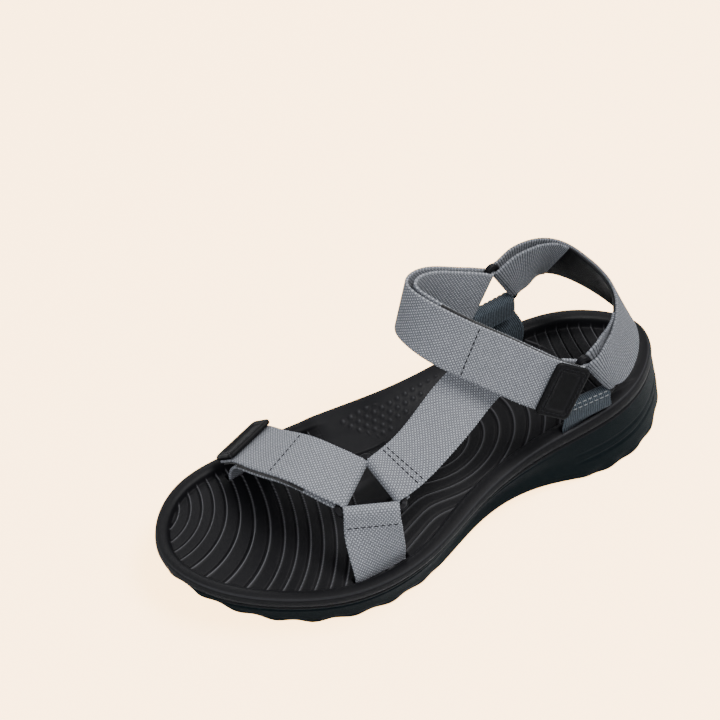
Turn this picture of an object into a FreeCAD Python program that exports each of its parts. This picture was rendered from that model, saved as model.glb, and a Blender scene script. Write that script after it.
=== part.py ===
import FreeCAD, Part
import Sketcher
import math
import os

# Strappy sport sandal for the left foot: a three-layer moulded sole, three triangular strap rings,
# webbing bands through them, two hook-and-loop straps that peel open, and a padded heel strap.
# Millimetres.  Last frame: +X to the toe, +Y to the outer (lateral) side, +Z up, ground at Z = 0.

V = FreeCAD.Vector
doc = FreeCAD.newDocument("sport_sandal")

# ---------------------------------------------------------------- driving dimensions
sheet = doc.addObject("Spreadsheet::Sheet", "dims")
DIMENSIONS = {
    "centre_shift_x": 3.7,        # moves the last frame's origin to the middle of the ground plan
    "centre_shift_y": -3.3,
    "wall_height": 45.0,          # height of the sole blank
    "outsole_thickness": 3.5,
    "half_span": 75.0,            # half width of the cutting tools across the sole
    "tool_height": 90.0,
    "webbing_width": 25.4,
    "loop_width": 19.6,            # webbing gathered where it passes a ring bar
    "webbing_thickness": 1.5,
    "tape_width": 22.0,
    "tape_thickness": 0.9,
    "lining_width": 24.0,
    "lining_thickness": 1.2,
    "slot_width": 27.0,
    "slot_gap": 3.4,
    "slot_depth_z": 8.0,
    "ring_opening_side": 27.4,
    "ring_bar": 2.8,
    "ring_corner_radius": 3.4,
    "ring_inner_radius": 1.2,
    "ring_bar_rounding": 0.9,
    "tab_width": 26.8,
    "tab_length": 17.0,
    "tab_thickness": 2.4,
    "tab_corner_radius": 2.5,
    "tab_frame_width": 3.2,
    "tab_recess_depth": 0.8,
}
for row, (alias, value) in enumerate(DIMENSIONS.items(), start=1):
    sheet.set("A%d" % row, alias)
    sheet.set("B%d" % row, str(value))
    sheet.setAlias("B%d" % row, alias)
doc.recompute()


def dim(alias):
    """Value of a sheet cell, for the code that places sections."""
    return float(getattr(sheet, alias))


SHIFT = V(dim("centre_shift_x"), dim("centre_shift_y"), 0)
subparts = []


def finish_subpart(item, label):
    """Names a sub-part and moves it from the last frame to the part frame."""
    item.Label = label
    item.Placement = FreeCAD.Placement(SHIFT, FreeCAD.Rotation())
    subparts.append(item)
    return item


# ---------------------------------------------------------------- sole
# Outline of the footbed's rim: x, y, outward offset at the ground, outward offset at wall height.
RIM_OUTLINE = [
    (130.5, -8.0, -2.5, 1.5),
    (121.0, 16.0, -3.0, 2.0),
    (96.0, 38.0, -3.5, 3.0),
    (62.0, 52.5, -3.5, 3.0),
    (28.0, 51.5, -3.0, 2.5),
    (-8.0, 39.0, -1.0, 1.0),
    (-45.0, 33.5, 3.0, -0.5),
    (-80.0, 34.5, 7.0, -1.0),
    (-108.0, 26.0, 10.0, -1.0),
    (-128.5, -2.0, 11.5, -1.0),
    (-110.0, -24.0, 9.0, -1.0),
    (-80.0, -33.0, 6.0, -1.5),
    (-40.0, -33.0, 1.0, 0.0),
    (0.0, -35.5, -1.0, 1.0),
    (40.0, -43.0, -2.5, 2.0),
    (78.0, -46.5, -3.0, 2.0),
    (110.0, -40.5, -3.0, 2.0),
    (125.0, -27.0, -3.0, 1.5),
]
# Side profile: x, rim height outside, rim height inside, depth of the foot field, footbed thickness.
SIDE_PROFILE = [
    (-150.0, 38.5, 38.5, 5.0, 8.5),
    (-115.0, 38.5, 40.0, 5.0, 8.5),
    (-80.0, 36.0, 43.0, 4.5, 8.0),
    (-45.0, 29.0, 43.0, 3.5, 7.0),
    (-10.0, 24.0, 38.0, 3.0, 6.0),
    (30.0, 24.0, 30.5, 2.5, 5.5),
    (70.0, 22.5, 26.0, 2.5, 5.0),
    (105.0, 23.0, 26.0, 2.5, 5.0),
    (127.5, 25.5, 25.5, 2.5, 5.0),
    (150.0, 29.0, 29.0, 2.5, 5.0),
]
# Tread underside: heel rise, heel contact, arch, ball contact, toe spring.
TREAD_HEEL_RISE = [(-160.0, 17.0), (-139.0, 8.5), (-124.0, 2.0), (-112.0, 0.0)]
TREAD_ARCH = [(-72.0, 0.0), (-45.0, 4.6), (-15.0, 5.6), (15.0, 2.6), (38.0, 0.0)]
TREAD_TOE_SPRING = [(84.0, 0.0), (104.0, 4.6), (127.0, 15.5), (160.0, 33.0)]
FIELD_INSET = 9.0                 # width of the smooth band between rim and foot field


def outline_normals(points):
    """Outward unit normals of a closed, anticlockwise list of plan points."""
    normals = []
    for index in range(len(points)):
        before = points[index - 1]
        after = points[(index + 1) % len(points)]
        along = V(after[0] - before[0], after[1] - before[1], 0)
        along.normalize()
        normals.append(V(along.y, -along.x, 0))
    return normals


def closed_spline(points):
    """Closed smooth curve through plan points."""
    curve = Part.BSplineCurve()
    curve.interpolate(Points=points, PeriodicFlag=True)
    return curve


def open_spline(points):
    """Open smooth curve through plan points."""
    curve = Part.BSplineCurve()
    curve.interpolate([V(x, y, 0) for x, y in points])
    return curve


def plan_sketch(name, offsets):
    """Sketch of the sole outline, each point moved out by its own offset."""
    normals = outline_normals(RIM_OUTLINE)
    points = []
    for row, normal, offset in zip(RIM_OUTLINE, normals, offsets):
        points.append(V(row[0], row[1], 0) + normal * offset)
    sketch = doc.addObject("Sketcher::SketchObject", name)
    sketch.addGeometry(closed_spline(points))
    return sketch


def stand_up(sketch, span_sign):
    """Turns a side sketch into the XZ plane and stands it at one end of the tool span."""
    sketch.Placement = FreeCAD.Placement(V(0, 0, 0), FreeCAD.Rotation(V(1, 0, 0), 90))
    sketch.setExpression("Placement.Base.y", "%s dims.half_span" % ("-" if span_sign < 0 else ""))


def close_below_or_above(sketch, first, last, limit):
    """Closes an open side curve with three straight edges at the limit height."""
    corners = [V(first[0], first[1], 0), V(first[0], limit, 0), V(last[0], limit, 0), V(last[0], last[1], 0)]
    for start, stop in zip(corners, corners[1:]):
        sketch.addGeometry(Part.LineSegment(start, stop))


def region_above(name, lateral, medial):
    """Solid above a surface that runs straight across from the medial to the lateral height curve."""
    sides = []
    for side, points in (("medial", medial), ("lateral", lateral)):
        sketch = doc.addObject("Sketcher::SketchObject", "%s_%s_side" % (name, side))
        sketch.addGeometry(open_spline(points))
        close_below_or_above(sketch, points[0], points[-1], dim("tool_height"))
        stand_up(sketch, 1 if side == "lateral" else -1)
        sides.append(sketch)
    loft = doc.addObject("Part::Loft", name)
    loft.Sections = sides
    loft.Solid = True
    loft.Ruled = True
    return loft


def tread_sketch(name, raise_alias, limit):
    """Side sketch bounded by the tread line, which is raised by a sheet value when one is named."""
    lift = dim(raise_alias) if raise_alias else 0.0
    runs = [[(x, z + lift) for x, z in run] for run in (TREAD_HEEL_RISE, TREAD_ARCH, TREAD_TOE_SPRING)]
    sketch = doc.addObject("Sketcher::SketchObject", name)
    for run in runs:
        sketch.addGeometry(open_spline(run))
    for before, after in zip(runs, runs[1:]):
        sketch.addGeometry(Part.LineSegment(V(*before[-1], 0), V(*after[0], 0)))
    close_below_or_above(sketch, runs[0][0], runs[-1][-1], limit)
    stand_up(sketch, 1)
    return sketch


def extruded(name, sketch, direction, length_expression):
    """Straight extrusion of a sketch along a fixed direction."""
    item = doc.addObject("Part::Extrusion", name)
    item.Base = sketch
    item.DirMode = "Custom"
    item.Dir = direction
    item.Solid = True
    item.setExpression("LengthFwd", length_expression)
    return item


def boolean(kind, name, first, second):
    """Part::Cut or Part::Common of two objects."""
    item = doc.addObject("Part::" + kind, name)
    item.Base = first
    item.Tool = second
    return item


def sole_blank(name):
    """Side wall of the whole sole, from the ground outline to the outline at wall height."""
    ground = plan_sketch(name + "_ground", [row[2] for row in RIM_OUTLINE])
    top = plan_sketch(name + "_top", [row[3] for row in RIM_OUTLINE])
    top.setExpression("Placement.Base.z", "dims.wall_height")
    loft = doc.addObject("Part::Loft", name)
    loft.Sections = [ground, top]
    loft.Solid = True
    loft.Ruled = True
    return loft


def heights(column, drop=None):
    """Side curve from one column of the side profile, lowered by another column when named."""
    return [(row[0], row[column] - (row[drop] if drop else 0.0)) for row in SIDE_PROFILE]


above_rim = region_above("above_rim", heights(1), heights(2))
above_field = region_above("above_field", heights(1, 3), heights(2, 3))
above_footbed_base = region_above("above_footbed_base", heights(1, 4), heights(2, 4))
below_tread = extruded("below_tread", tread_sketch("below_tread_side", None, -30.0), V(0, -1, 0),
                       "2 * dims.half_span")
outsole_top_sketch = tread_sketch("outsole_top_side", "outsole_thickness", -30.0)
below_outsole_top = extruded("below_outsole_top", outsole_top_sketch, V(0, -1, 0), "2 * dims.half_span")

# Slots in the sole: plan centre and direction of each webbing end that is moulded in.
TOE_BASE_SLOT = (V(70.5, -36.6, 0), V(1, 0.12, 0))
TOE_ANCHOR_SLOT = (V(50.8, 44.2, 0), V(1, -0.02, 0))
LATERAL_ANCHOR_SLOT = (V(-69.7, 31.6, 0), V(1, 0.05, 0))
MEDIAL_ANCHOR_SLOT = (V(-63.0, -25.6, 0), V(1, -0.03, 0))
SLOTS = [TOE_BASE_SLOT, TOE_ANCHOR_SLOT, LATERAL_ANCHOR_SLOT, MEDIAL_ANCHOR_SLOT]


def slot_cutters(name, bottom_expression):
    """One upright box per webbing slot, from the named height up through the footbed."""
    boxes = []
    for number, (centre, along) in enumerate(SLOTS):
        box = doc.addObject("Part::Box", "%s_%d" % (name, number))
        box.setExpression("Length", "dims.slot_width")
        box.setExpression("Width", "dims.slot_gap")
        box.Height = dim("tool_height")
        turn = FreeCAD.Rotation(V(1, 0, 0), along)
        corner = turn.multVec(V(-dim("slot_width") / 2, -dim("slot_gap") / 2, 0))
        box.Placement = FreeCAD.Placement(centre + corner, turn)
        box.setExpression("Placement.Base.z", bottom_expression)
        boxes.append(box)
    group = doc.addObject("Part::MultiFuse", name)
    group.Shapes = boxes
    return group


outsole_trim = boolean("Cut", "outsole_trim", sole_blank("outsole_blank"), below_tread)
outsole = boolean("Common", "outsole_layer", outsole_trim, below_outsole_top)
finish_subpart(outsole, "outsole")

midsole_trim = boolean("Cut", "midsole_trim", sole_blank("midsole_blank"), below_outsole_top)
midsole_layer = boolean("Cut", "midsole_layer", midsole_trim, above_footbed_base)
midsole_cutters = slot_cutters("midsole_slots", "dims.slot_depth_z")
midsole = boolean("Cut", "midsole_slotted", midsole_layer, midsole_cutters)
finish_subpart(midsole, "midsole")

field_sketch = plan_sketch("foot_field_outline", [-FIELD_INSET] * len(RIM_OUTLINE))
field_prism = extruded("foot_field_prism", field_sketch, V(0, 0, 1), "dims.tool_height")
field_cut = boolean("Common", "foot_field_cut", field_prism, above_field)
footbed_top = boolean("Cut", "footbed_top", sole_blank("footbed_blank"), above_rim)
footbed_layer = boolean("Common", "footbed_layer", footbed_top, above_footbed_base)
footbed_dished = boolean("Cut", "footbed_dished", footbed_layer, field_cut)
footbed_cutters = slot_cutters("footbed_slots", "dims.slot_depth_z")
footbed = boolean("Cut", "footbed_slotted", footbed_dished, footbed_cutters)
finish_subpart(footbed, "footbed")


# ---------------------------------------------------------------- helpers for webbing
def unit(vector):
    """Unit vector along a vector."""
    result = V(vector)
    result.normalize()
    return result


class Frame:
    """Section frame of a band: centre, direction along the band, direction across it, and normal."""

    def __init__(self, centre, along, across, width=None):
        self.width = width
        self.centre = V(centre)
        self.along = unit(along)
        self.across = unit(across - self.along * across.dot(self.along))
        self.normal = self.along.cross(self.across)

    def moved(self, offset):
        """The same frame, offset along its normal."""
        return Frame(self.centre + self.normal * offset, self.along, self.across, self.width)

    def reversed(self):
        """The same section, travelled the other way with the same face outwards."""
        return Frame(self.centre, self.along * -1, self.across * -1, self.width)

    def placement(self):
        turn = FreeCAD.Rotation(self.across, self.normal, self.along, "XYZ")
        return FreeCAD.Placement(self.centre, turn)


class Ribbon:
    """Smooth band surface through stations of centre and across direction."""

    def __init__(self, stations, first_along, last_along=None):
        centres = [V(*centre) for centre, across in stations]
        acrosses = [unit(V(*across)) for centre, across in stations]
        last_along = last_along or unit(centres[-1] - centres[-2])
        marks = [0.0]
        for before, after in zip(centres, centres[1:]):
            marks.append(marks[-1] + before.distanceToPoint(after))
        self.length = marks[-1]
        self.centre_curve = Part.BSplineCurve()
        self.centre_curve.interpolate(Points=centres, Parameters=marks, InitialTangent=first_along,
                                      FinalTangent=last_along, Scale=False)
        self.across_curve = Part.BSplineCurve()
        self.across_curve.interpolate(Points=acrosses, Parameters=marks)

    def frame(self, mark, offset=0.0):
        along = self.centre_curve.tangent(mark)[0]
        frame = Frame(self.centre_curve.value(mark), along, self.across_curve.value(mark))
        return frame.moved(offset)

    def frames(self, first, last, offset, steps):
        """Evenly spaced frames; the offset is a number or a function of the distance along."""
        result = []
        for index in range(steps + 1):
            mark = first + (last - first) * index / steps
            amount = offset(mark) if callable(offset) else offset
            result.append(self.frame(mark, amount))
        return result


def fold(centre, across, radial, along, turn=180.0, steps=6):
    """Gathered frames of webbing folded round a bar; radial points from the bar to the band at the start."""
    across = unit(across)
    if along.cross(across).dot(radial) < 0:
        across = across * -1
    frames = []
    for index in range(steps + 1):
        angle = math.radians(turn * index / steps)
        out = radial * math.cos(angle) + along * math.sin(angle)
        forward = along * math.cos(angle) - radial * math.sin(angle)
        frames.append(Frame(centre + out * FOLD_RADIUS, forward, across, "loop_width"))
    return frames


def leg(frame, length):
    """One more frame, straight on from a frame."""
    return Frame(frame.centre + frame.along * length, frame.along, frame.across, frame.width)


def rectangle_sketch(body, name, placement, width_alias, height_alias):
    """Rectangle centred on its own origin, sized from the sheet, attached to the body's XY plane."""
    sketch = body.newObject("Sketcher::SketchObject", name)
    plane = [item for item in body.Origin.OriginFeatures if item.Role == "XY_Plane"][0]
    sketch.AttachmentSupport = [(plane, "")]
    sketch.MapMode = "FlatFace"
    sketch.AttachmentOffset = placement
    half_width = dim(width_alias) / 2
    half_height = dim(height_alias) / 2
    corners = [V(-half_width, -half_height, 0), V(half_width, -half_height, 0),
               V(half_width, half_height, 0), V(-half_width, half_height, 0)]
    for number in range(4):
        sketch.addGeometry(Part.LineSegment(corners[number], corners[(number + 1) % 4]))
    for number in range(4):
        sketch.addConstraint(Sketcher.Constraint("Coincident", number, 2, (number + 1) % 4, 1))
    for number, kind in enumerate(("Horizontal", "Vertical", "Horizontal", "Vertical")):
        sketch.addConstraint(Sketcher.Constraint(kind, number))
    sketch.addConstraint(Sketcher.Constraint("Symmetric", 0, 1, 1, 2, -1, 1))
    width = sketch.addConstraint(Sketcher.Constraint("DistanceX", 0, 1, 0, 2, dim(width_alias)))
    height = sketch.addConstraint(Sketcher.Constraint("DistanceY", 1, 1, 1, 2, dim(height_alias)))
    sketch.setExpression("Constraints[%d]" % width, "dims." + width_alias)
    sketch.setExpression("Constraints[%d]" % height, "dims." + height_alias)
    return sketch


def band(label, frames, width_alias="webbing_width", thickness_alias="webbing_thickness"):
    """A flat band lofted through section frames."""
    body = doc.addObject("PartDesign::Body", label + "_body")
    sketches = []
    for number, frame in enumerate(frames):
        name = "%s_section_%d" % (label, number)
        width = frame.width or width_alias
        sketches.append(rectangle_sketch(body, name, frame.placement(), width, thickness_alias))
    loft = body.newObject("PartDesign::AdditiveLoft", label + "_loft")
    loft.Profile = sketches[0]
    loft.Sections = sketches[1:]
    loft.Ruled = True
    loft.Refine = False
    return finish_subpart(body, label)


# ---------------------------------------------------------------- strap rings
BAR_CENTRE_RADIUS = dim("ring_opening_side") / (2 * math.sqrt(3)) + dim("ring_bar") / 2


class Ring:
    """Place of a triangular ring: centre, outward normal and the direction of its first corner."""

    def __init__(self, centre, normal, first_corner):
        self.centre = V(*centre)
        self.normal = unit(V(*normal))
        corner = V(*first_corner) - self.centre
        self.up = unit(corner - self.normal * corner.dot(self.normal))
        self.side = self.up.cross(self.normal)

    def corner_direction(self, number):
        angle = math.radians(90 + 120 * number)
        return self.side * math.cos(angle) + self.up * math.sin(angle)

    def bar(self, opposite):
        """Mid point and outward direction of the bar opposite a corner."""
        out = self.corner_direction(opposite) * -1
        return self.centre + out * BAR_CENTRE_RADIUS, out

    def bar_direction(self, opposite):
        """Direction along the bar opposite a corner."""
        return unit(self.normal.cross(self.corner_direction(opposite)))

    def placement(self):
        turn = FreeCAD.Rotation(self.side, self.up, self.normal, "ZYX")
        return FreeCAD.Placement(self.centre, turn)


toe_ring = Ring((44.3, 24.6, 49.8), (0.16, 0.20, 0.97), (36.5, 9.0, 53.5))
lateral_ring = Ring((-68.1, 29.7, 57.4), (0.12, 0.98, 0.12), (-66.8, 28.1, 75.1))
medial_ring = Ring((-55.3, -27.4, 75.4), (0.05, -0.99, -0.04), (-54.7, -27.8, 93.2))


def triangle(radius):
    """Corners of an upright equilateral triangle round the origin."""
    angles = [math.radians(90 + 120 * number) for number in range(3)]
    return [V(radius * math.cos(angle), radius * math.sin(angle), 0) for angle in angles]


def add_triangle(sketch, radius_expression, radius):
    """Equilateral triangle on a construction circle whose radius follows the sheet."""
    first = sketch.GeometryCount
    corners = triangle(radius)
    for number in range(3):
        sketch.addGeometry(Part.LineSegment(corners[number], corners[(number + 1) % 3]))
    circle = sketch.addGeometry(Part.Circle(V(0, 0, 0), V(0, 0, 1), radius))
    sketch.toggleConstruction(circle)
    sketch.addConstraint(Sketcher.Constraint("Coincident", circle, 3, -1, 1))
    for number in range(3):
        edge = first + number
        following = first + (number + 1) % 3
        sketch.addConstraint(Sketcher.Constraint("Coincident", edge, 2, following, 1))
        sketch.addConstraint(Sketcher.Constraint("PointOnObject", edge, 1, circle))
    sketch.addConstraint(Sketcher.Constraint("Equal", first, first + 1))
    sketch.addConstraint(Sketcher.Constraint("Equal", first + 1, first + 2))
    sketch.addConstraint(Sketcher.Constraint("PointOnObject", first, 1, -2))
    size = sketch.addConstraint(Sketcher.Constraint("Radius", circle, radius))
    sketch.setExpression("Constraints[%d]" % size, radius_expression)


def edge_names(shape, wanted):
    """Names of a shape's edges that a test accepts."""
    return ["Edge%d" % (number + 1) for number, edge in enumerate(shape.Edges) if wanted(edge)]


def ring_body(label, ring):
    """Moulded triangular ring: a padded frame with rounded corners and rounded bars."""
    body = doc.addObject("PartDesign::Body", label + "_body")
    plane = [item for item in body.Origin.OriginFeatures if item.Role == "XY_Plane"][0]
    sketch = body.newObject("Sketcher::SketchObject", label + "_sketch")
    sketch.AttachmentSupport = [(plane, "")]
    sketch.MapMode = "FlatFace"
    sketch.AttachmentOffset = ring.placement()
    inner = dim("ring_opening_side") / math.sqrt(3)
    add_triangle(sketch, "dims.ring_opening_side / sqrt(3)", inner)
    add_triangle(sketch, "dims.ring_opening_side / sqrt(3) + 2 * dims.ring_bar", inner + 2 * dim("ring_bar"))
    pad = body.newObject("PartDesign::Pad", label + "_pad")
    pad.Profile = sketch
    pad.SideType = "Symmetric"
    pad.setExpression("Length", "dims.ring_bar")
    doc.recompute()

    def is_corner(edge, outer):
        parallel = abs(edge.tangentAt(edge.FirstParameter).dot(ring.normal)) > 0.9
        beyond = edge.CenterOfMass.distanceToPoint(ring.centre) > inner + dim("ring_bar")
        return parallel and beyond == outer

    corners = pad
    for kind, outer in (("outer", True), ("inner", False)):
        rounded = body.newObject("PartDesign::Fillet", "%s_%s_corners" % (label, kind))
        rounded.Base = (corners, edge_names(corners.Shape, lambda edge: is_corner(edge, outer)))
        rounded.setExpression("Radius", "dims.ring_%s_radius" % ("corner" if outer else "inner"))
        doc.recompute()
        corners = rounded

    def is_bar_edge(edge):
        middle = edge.CenterOfMass
        height = abs((middle - ring.centre).dot(ring.normal))
        return height > dim("ring_bar") / 2 - 0.01

    rounding = body.newObject("PartDesign::Fillet", label + "_rounding")
    rounding.Base = (corners, edge_names(corners.Shape, is_bar_edge))
    rounding.setExpression("Radius", "dims.ring_bar_rounding")
    return finish_subpart(body, label)


ring_body("toe_ring", toe_ring)
ring_body("lateral_ring", lateral_ring)
ring_body("medial_ring", medial_ring)

# ---------------------------------------------------------------- layers of the peeling straps
CLEARANCE = 0.3                                   # between a moving layer and a fixed one
BAR_CLEARANCE = 0.35                              # between a ring bar and the webbing round it
FOLD_RADIUS = dim("ring_bar") / 2 + BAR_CLEARANCE + dim("webbing_thickness") / 2
HALF_BAND = dim("webbing_thickness") / 2
HALF_TAPE = dim("tape_thickness") / 2
SEAM_GAP = 0.2                                    # between pieces that are sewn together
LOOP_TAPE_OFFSET = -(CLEARANCE / 2 + HALF_TAPE)
BASE_OFFSET = LOOP_TAPE_OFFSET - HALF_TAPE - SEAM_GAP - HALF_BAND
HOOK_TAPE_OFFSET = CLEARANCE / 2 + HALF_TAPE
TAIL_OFFSET = HOOK_TAPE_OFFSET + HALF_TAPE + SEAM_GAP + HALF_BAND
TAIL_BAR_OFFSET = FOLD_RADIUS + 2 * HALF_BAND + CLEARANCE
MERGE_LENGTH = 15.0                               # distance from the bar to where the layers meet
TAIL_START = 7.0                                  # distance from a bar to where the full-width band begins


def smooth_step(value):
    """Eases from 0 to 1."""
    value = min(max(value, 0.0), 1.0)
    return value * value * (3 - 2 * value)


def base_offset(mark):
    """Offset of the fixed band below the fastening surface, from the bar outwards."""
    share = smooth_step(mark / MERGE_LENGTH)
    return -FOLD_RADIUS + (BASE_OFFSET + FOLD_RADIUS) * share


def tail_offset(mark):
    """Offset of the peeling band above the fastening surface, from the bar outwards."""
    share = smooth_step(mark / MERGE_LENGTH)
    return TAIL_BAR_OFFSET + (TAIL_OFFSET - TAIL_BAR_OFFSET) * share


def station(centre, across):
    """Ribbon station from two vectors."""
    return (tuple(centre), tuple(across))


def under_bar_fold(ribbon):
    """Fold round the bar where a ribbon starts: from above the bar to below it."""
    root = ribbon.frame(0.0)
    frames = fold(root.centre, root.across, root.normal, root.along * -1)
    return [Frame(item.centre, item.along, root.across, item.width) for item in frames]


# ---------------------------------------------------------------- pull tabs
def tab_body(label, frame):
    """Moulded pull tab: a rounded plate with a raised frame round a recessed panel."""
    body = doc.addObject("PartDesign::Body", label + "_body")
    turn = FreeCAD.Rotation(frame.across, frame.along * -1, frame.normal, "ZXY")
    sketch = rectangle_sketch(body, label + "_sketch", FreeCAD.Placement(frame.centre, turn),
                              "tab_width", "tab_length")
    pad = body.newObject("PartDesign::Pad", label + "_pad")
    pad.Profile = sketch
    pad.setExpression("Length", "dims.tab_thickness")
    doc.recompute()

    def is_corner(edge):
        return abs(edge.tangentAt(edge.FirstParameter).dot(frame.normal)) > 0.9

    corners = body.newObject("PartDesign::Fillet", label + "_corners")
    corners.Base = (pad, edge_names(pad.Shape, is_corner))
    corners.setExpression("Radius", "dims.tab_corner_radius")
    top = frame.centre + frame.normal * dim("tab_thickness")
    panel = rectangle_sketch(body, label + "_panel", FreeCAD.Placement(top, turn), "tab_width", "tab_length")
    panel.setExpression("Constraints[9]", "dims.tab_width - 2 * dims.tab_frame_width")
    panel.setExpression("Constraints[10]", "dims.tab_length - 2 * dims.tab_frame_width")
    doc.recompute()
    volume = corners.Shape.Volume
    recess = body.newObject("PartDesign::Pocket", label + "_recess")
    recess.Profile = panel
    recess.setExpression("Length", "dims.tab_recess_depth")
    doc.recompute()
    if recess.Shape.Volume >= volume:
        recess.Reversed = True
    return finish_subpart(body, label)


# ---------------------------------------------------------------- toe strap
toe_bar_mid, toe_bar_out = toe_ring.bar(2)
toe_across = toe_ring.corner_direction(1) - toe_ring.corner_direction(0)
toe_surface = Ribbon([
    station(toe_bar_mid, toe_across),
    ((60.8, -3.5, 51.4), (0.84, 0.53, -0.10)),
    ((68.4, -26.5, 40.0), (0.90, 0.42, -0.05)),
    ((71.2, -41.5, 32.0), (0.93, 0.36, -0.02)),
], toe_bar_out)
TOE_BASE_END = toe_surface.length - 14.0
TOE_LOOP_START = 16.0
TOE_HOOK_START = 22.0
toe_base_frames = under_bar_fold(toe_surface)
toe_base_frames += toe_surface.frames(TAIL_START, TOE_BASE_END, base_offset, 8)
toe_slot_centre, toe_slot_across = TOE_BASE_SLOT
toe_base_frames.append(Frame(toe_slot_centre + V(-0.2, 1.2, 27.5), V(0.02, -0.30, -1), toe_slot_across))
toe_base_frames.append(Frame(toe_slot_centre + V(0, 0, 22.0), V(0, 0, -1), toe_slot_across))
toe_base_frames.append(Frame(toe_slot_centre + V(0, 0, 11.0), V(0, 0, -1), toe_slot_across))
band("toe_strap_base", toe_base_frames)
band("toe_loop_tape", toe_surface.frames(TOE_LOOP_START, TOE_BASE_END, LOOP_TAPE_OFFSET, 5),
     "tape_width", "tape_thickness")
band("toe_hook_tape", toe_surface.frames(TOE_HOOK_START, toe_surface.length - 2.0, HOOK_TAPE_OFFSET, 7),
     "tape_width", "tape_thickness")
band("toe_strap_tail", toe_surface.frames(TAIL_START, toe_surface.length, tail_offset, 12))
TAB_GAP = 0.55                                    # under the flat tab, over the bent band
TAB_OFFSET = TAIL_OFFSET + HALF_BAND + TAB_GAP
toe_tab_frame = toe_surface.frame(toe_surface.length - dim("tab_length") / 2 + 1.5, TAB_OFFSET)
tab_body("toe_pull_tab", toe_tab_frame)


# ---------------------------------------------------------------- anchors in the sole
def anchor_band(label, ring, opposite, outward, slot, bottom, rise, inner_leg):
    """Webbing stub: up from its slot, over a ring bar from the outside, and down inside."""
    bar_mid = ring.bar(opposite)[0]
    bar_along = ring.bar_direction(opposite)
    slot_centre, slot_across = slot
    if slot_across.dot(bar_along) < 0:
        bar_along = bar_along * -1
    mouth = slot_centre + V(0, 0, rise)
    travel = bar_mid - mouth
    travel = unit(travel - bar_along * travel.dot(bar_along))
    radial = travel.cross(bar_along)
    if radial.dot(outward) < 0:
        radial = radial * -1
    if travel.cross(bar_along).dot(radial) < 0:
        bar_along = bar_along * -1
        slot_across = slot_across * -1
    round_bar = fold(bar_mid, bar_along, radial, travel)
    neck = round_bar[0]
    frames = [
        Frame(slot_centre + V(0, 0, bottom), V(0, 0, 1), slot_across),
        Frame(mouth, V(0, 0, 1), slot_across),
        Frame(neck.centre - travel * 7.0, travel, neck.across),
    ]
    frames += round_bar
    frames.append(leg(round_bar[-1], inner_leg))
    return band(label, frames)


anchor_band("toe_lateral_anchor", toe_ring, 0, V(0, 1, 0), TOE_ANCHOR_SLOT, 9.5, 22.0, 7.0)
anchor_band("lateral_anchor", lateral_ring, 0, V(0, 1, 0), LATERAL_ANCHOR_SLOT, 22.0, 36.5, 6.0)
anchor_band("medial_anchor", medial_ring, 0, V(0, -1, 0), MEDIAL_ANCHOR_SLOT, 26.0, 43.0, 9.0)

# ---------------------------------------------------------------- ankle strap
ankle_bar_mid, ankle_bar_out = medial_ring.bar(1)
ankle_across = medial_ring.corner_direction(0) - medial_ring.corner_direction(2)
ankle_surface = Ribbon([
    station(ankle_bar_mid, ankle_across),
    ((-30.0, -29.5, 87.0), (-0.45, -0.06, 0.89)),
    ((-13.0, -29.5, 94.0), (-0.35, -0.08, 0.93)),
    ((-4.5, -23.0, 96.5), (-0.28, -0.14, 0.95)),
    ((-6.0, -11.5, 94.8), (-0.32, -0.18, 0.93)),
    ((-15.0, 0.5, 88.5), (-0.42, -0.20, 0.89)),
    ((-30.0, 15.0, 80.0), (-0.50, -0.20, 0.84)),
    ((-45.5, 27.5, 70.5), (-0.52, -0.12, 0.84)),
    ((-58.0, 33.5, 64.0), (-0.50, -0.05, 0.86)),
], ankle_bar_out)
ANKLE_BASE_END = ankle_surface.length - 22.0
ANKLE_PEEL_MARK = 57.0            # where the outer band bends when it is peeled open
PEEL_GAP = 0.5
ANKLE_LOOP_START = 62.0
ANKLE_HOOK_START = 78.0
lateral_bar_mid, lateral_bar_out = lateral_ring.bar(2)
lateral_across = lateral_ring.corner_direction(0) - lateral_ring.corner_direction(1)
lateral_fold = fold(lateral_bar_mid, lateral_across, lateral_ring.normal, lateral_bar_out * -1)
ankle_base_frames = under_bar_fold(ankle_surface)
ankle_base_frames += ankle_surface.frames(TAIL_START, ANKLE_BASE_END, base_offset, 24)
ankle_base_frames += lateral_fold
ankle_base_frames.append(leg(lateral_fold[-1], 9.0))
band("ankle_strap_base", ankle_base_frames)
band("ankle_loop_tape", ankle_surface.frames(ANKLE_LOOP_START, ANKLE_BASE_END - 1.0, LOOP_TAPE_OFFSET, 12),
     "tape_width", "tape_thickness")
ankle_hook_end = ankle_surface.length - 3.0
band("ankle_hook_tape", ankle_surface.frames(ANKLE_HOOK_START, ankle_hook_end, HOOK_TAPE_OFFSET, 12),
     "tape_width", "tape_thickness")
band("ankle_strap_return", ankle_surface.frames(0.0, ANKLE_PEEL_MARK - PEEL_GAP, tail_offset, 18))
ankle_tail_start = ANKLE_PEEL_MARK + PEEL_GAP
band("ankle_strap_tail", ankle_surface.frames(ankle_tail_start, ankle_surface.length, TAIL_OFFSET, 16))
ankle_peel_frame = ankle_surface.frame(ANKLE_PEEL_MARK, TAIL_OFFSET + HALF_BAND + 0.1)
ankle_tab_frame = ankle_surface.frame(ankle_surface.length - dim("tab_length") / 2 + 1.0, TAB_OFFSET)
tab_body("ankle_pull_tab", ankle_tab_frame)

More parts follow.
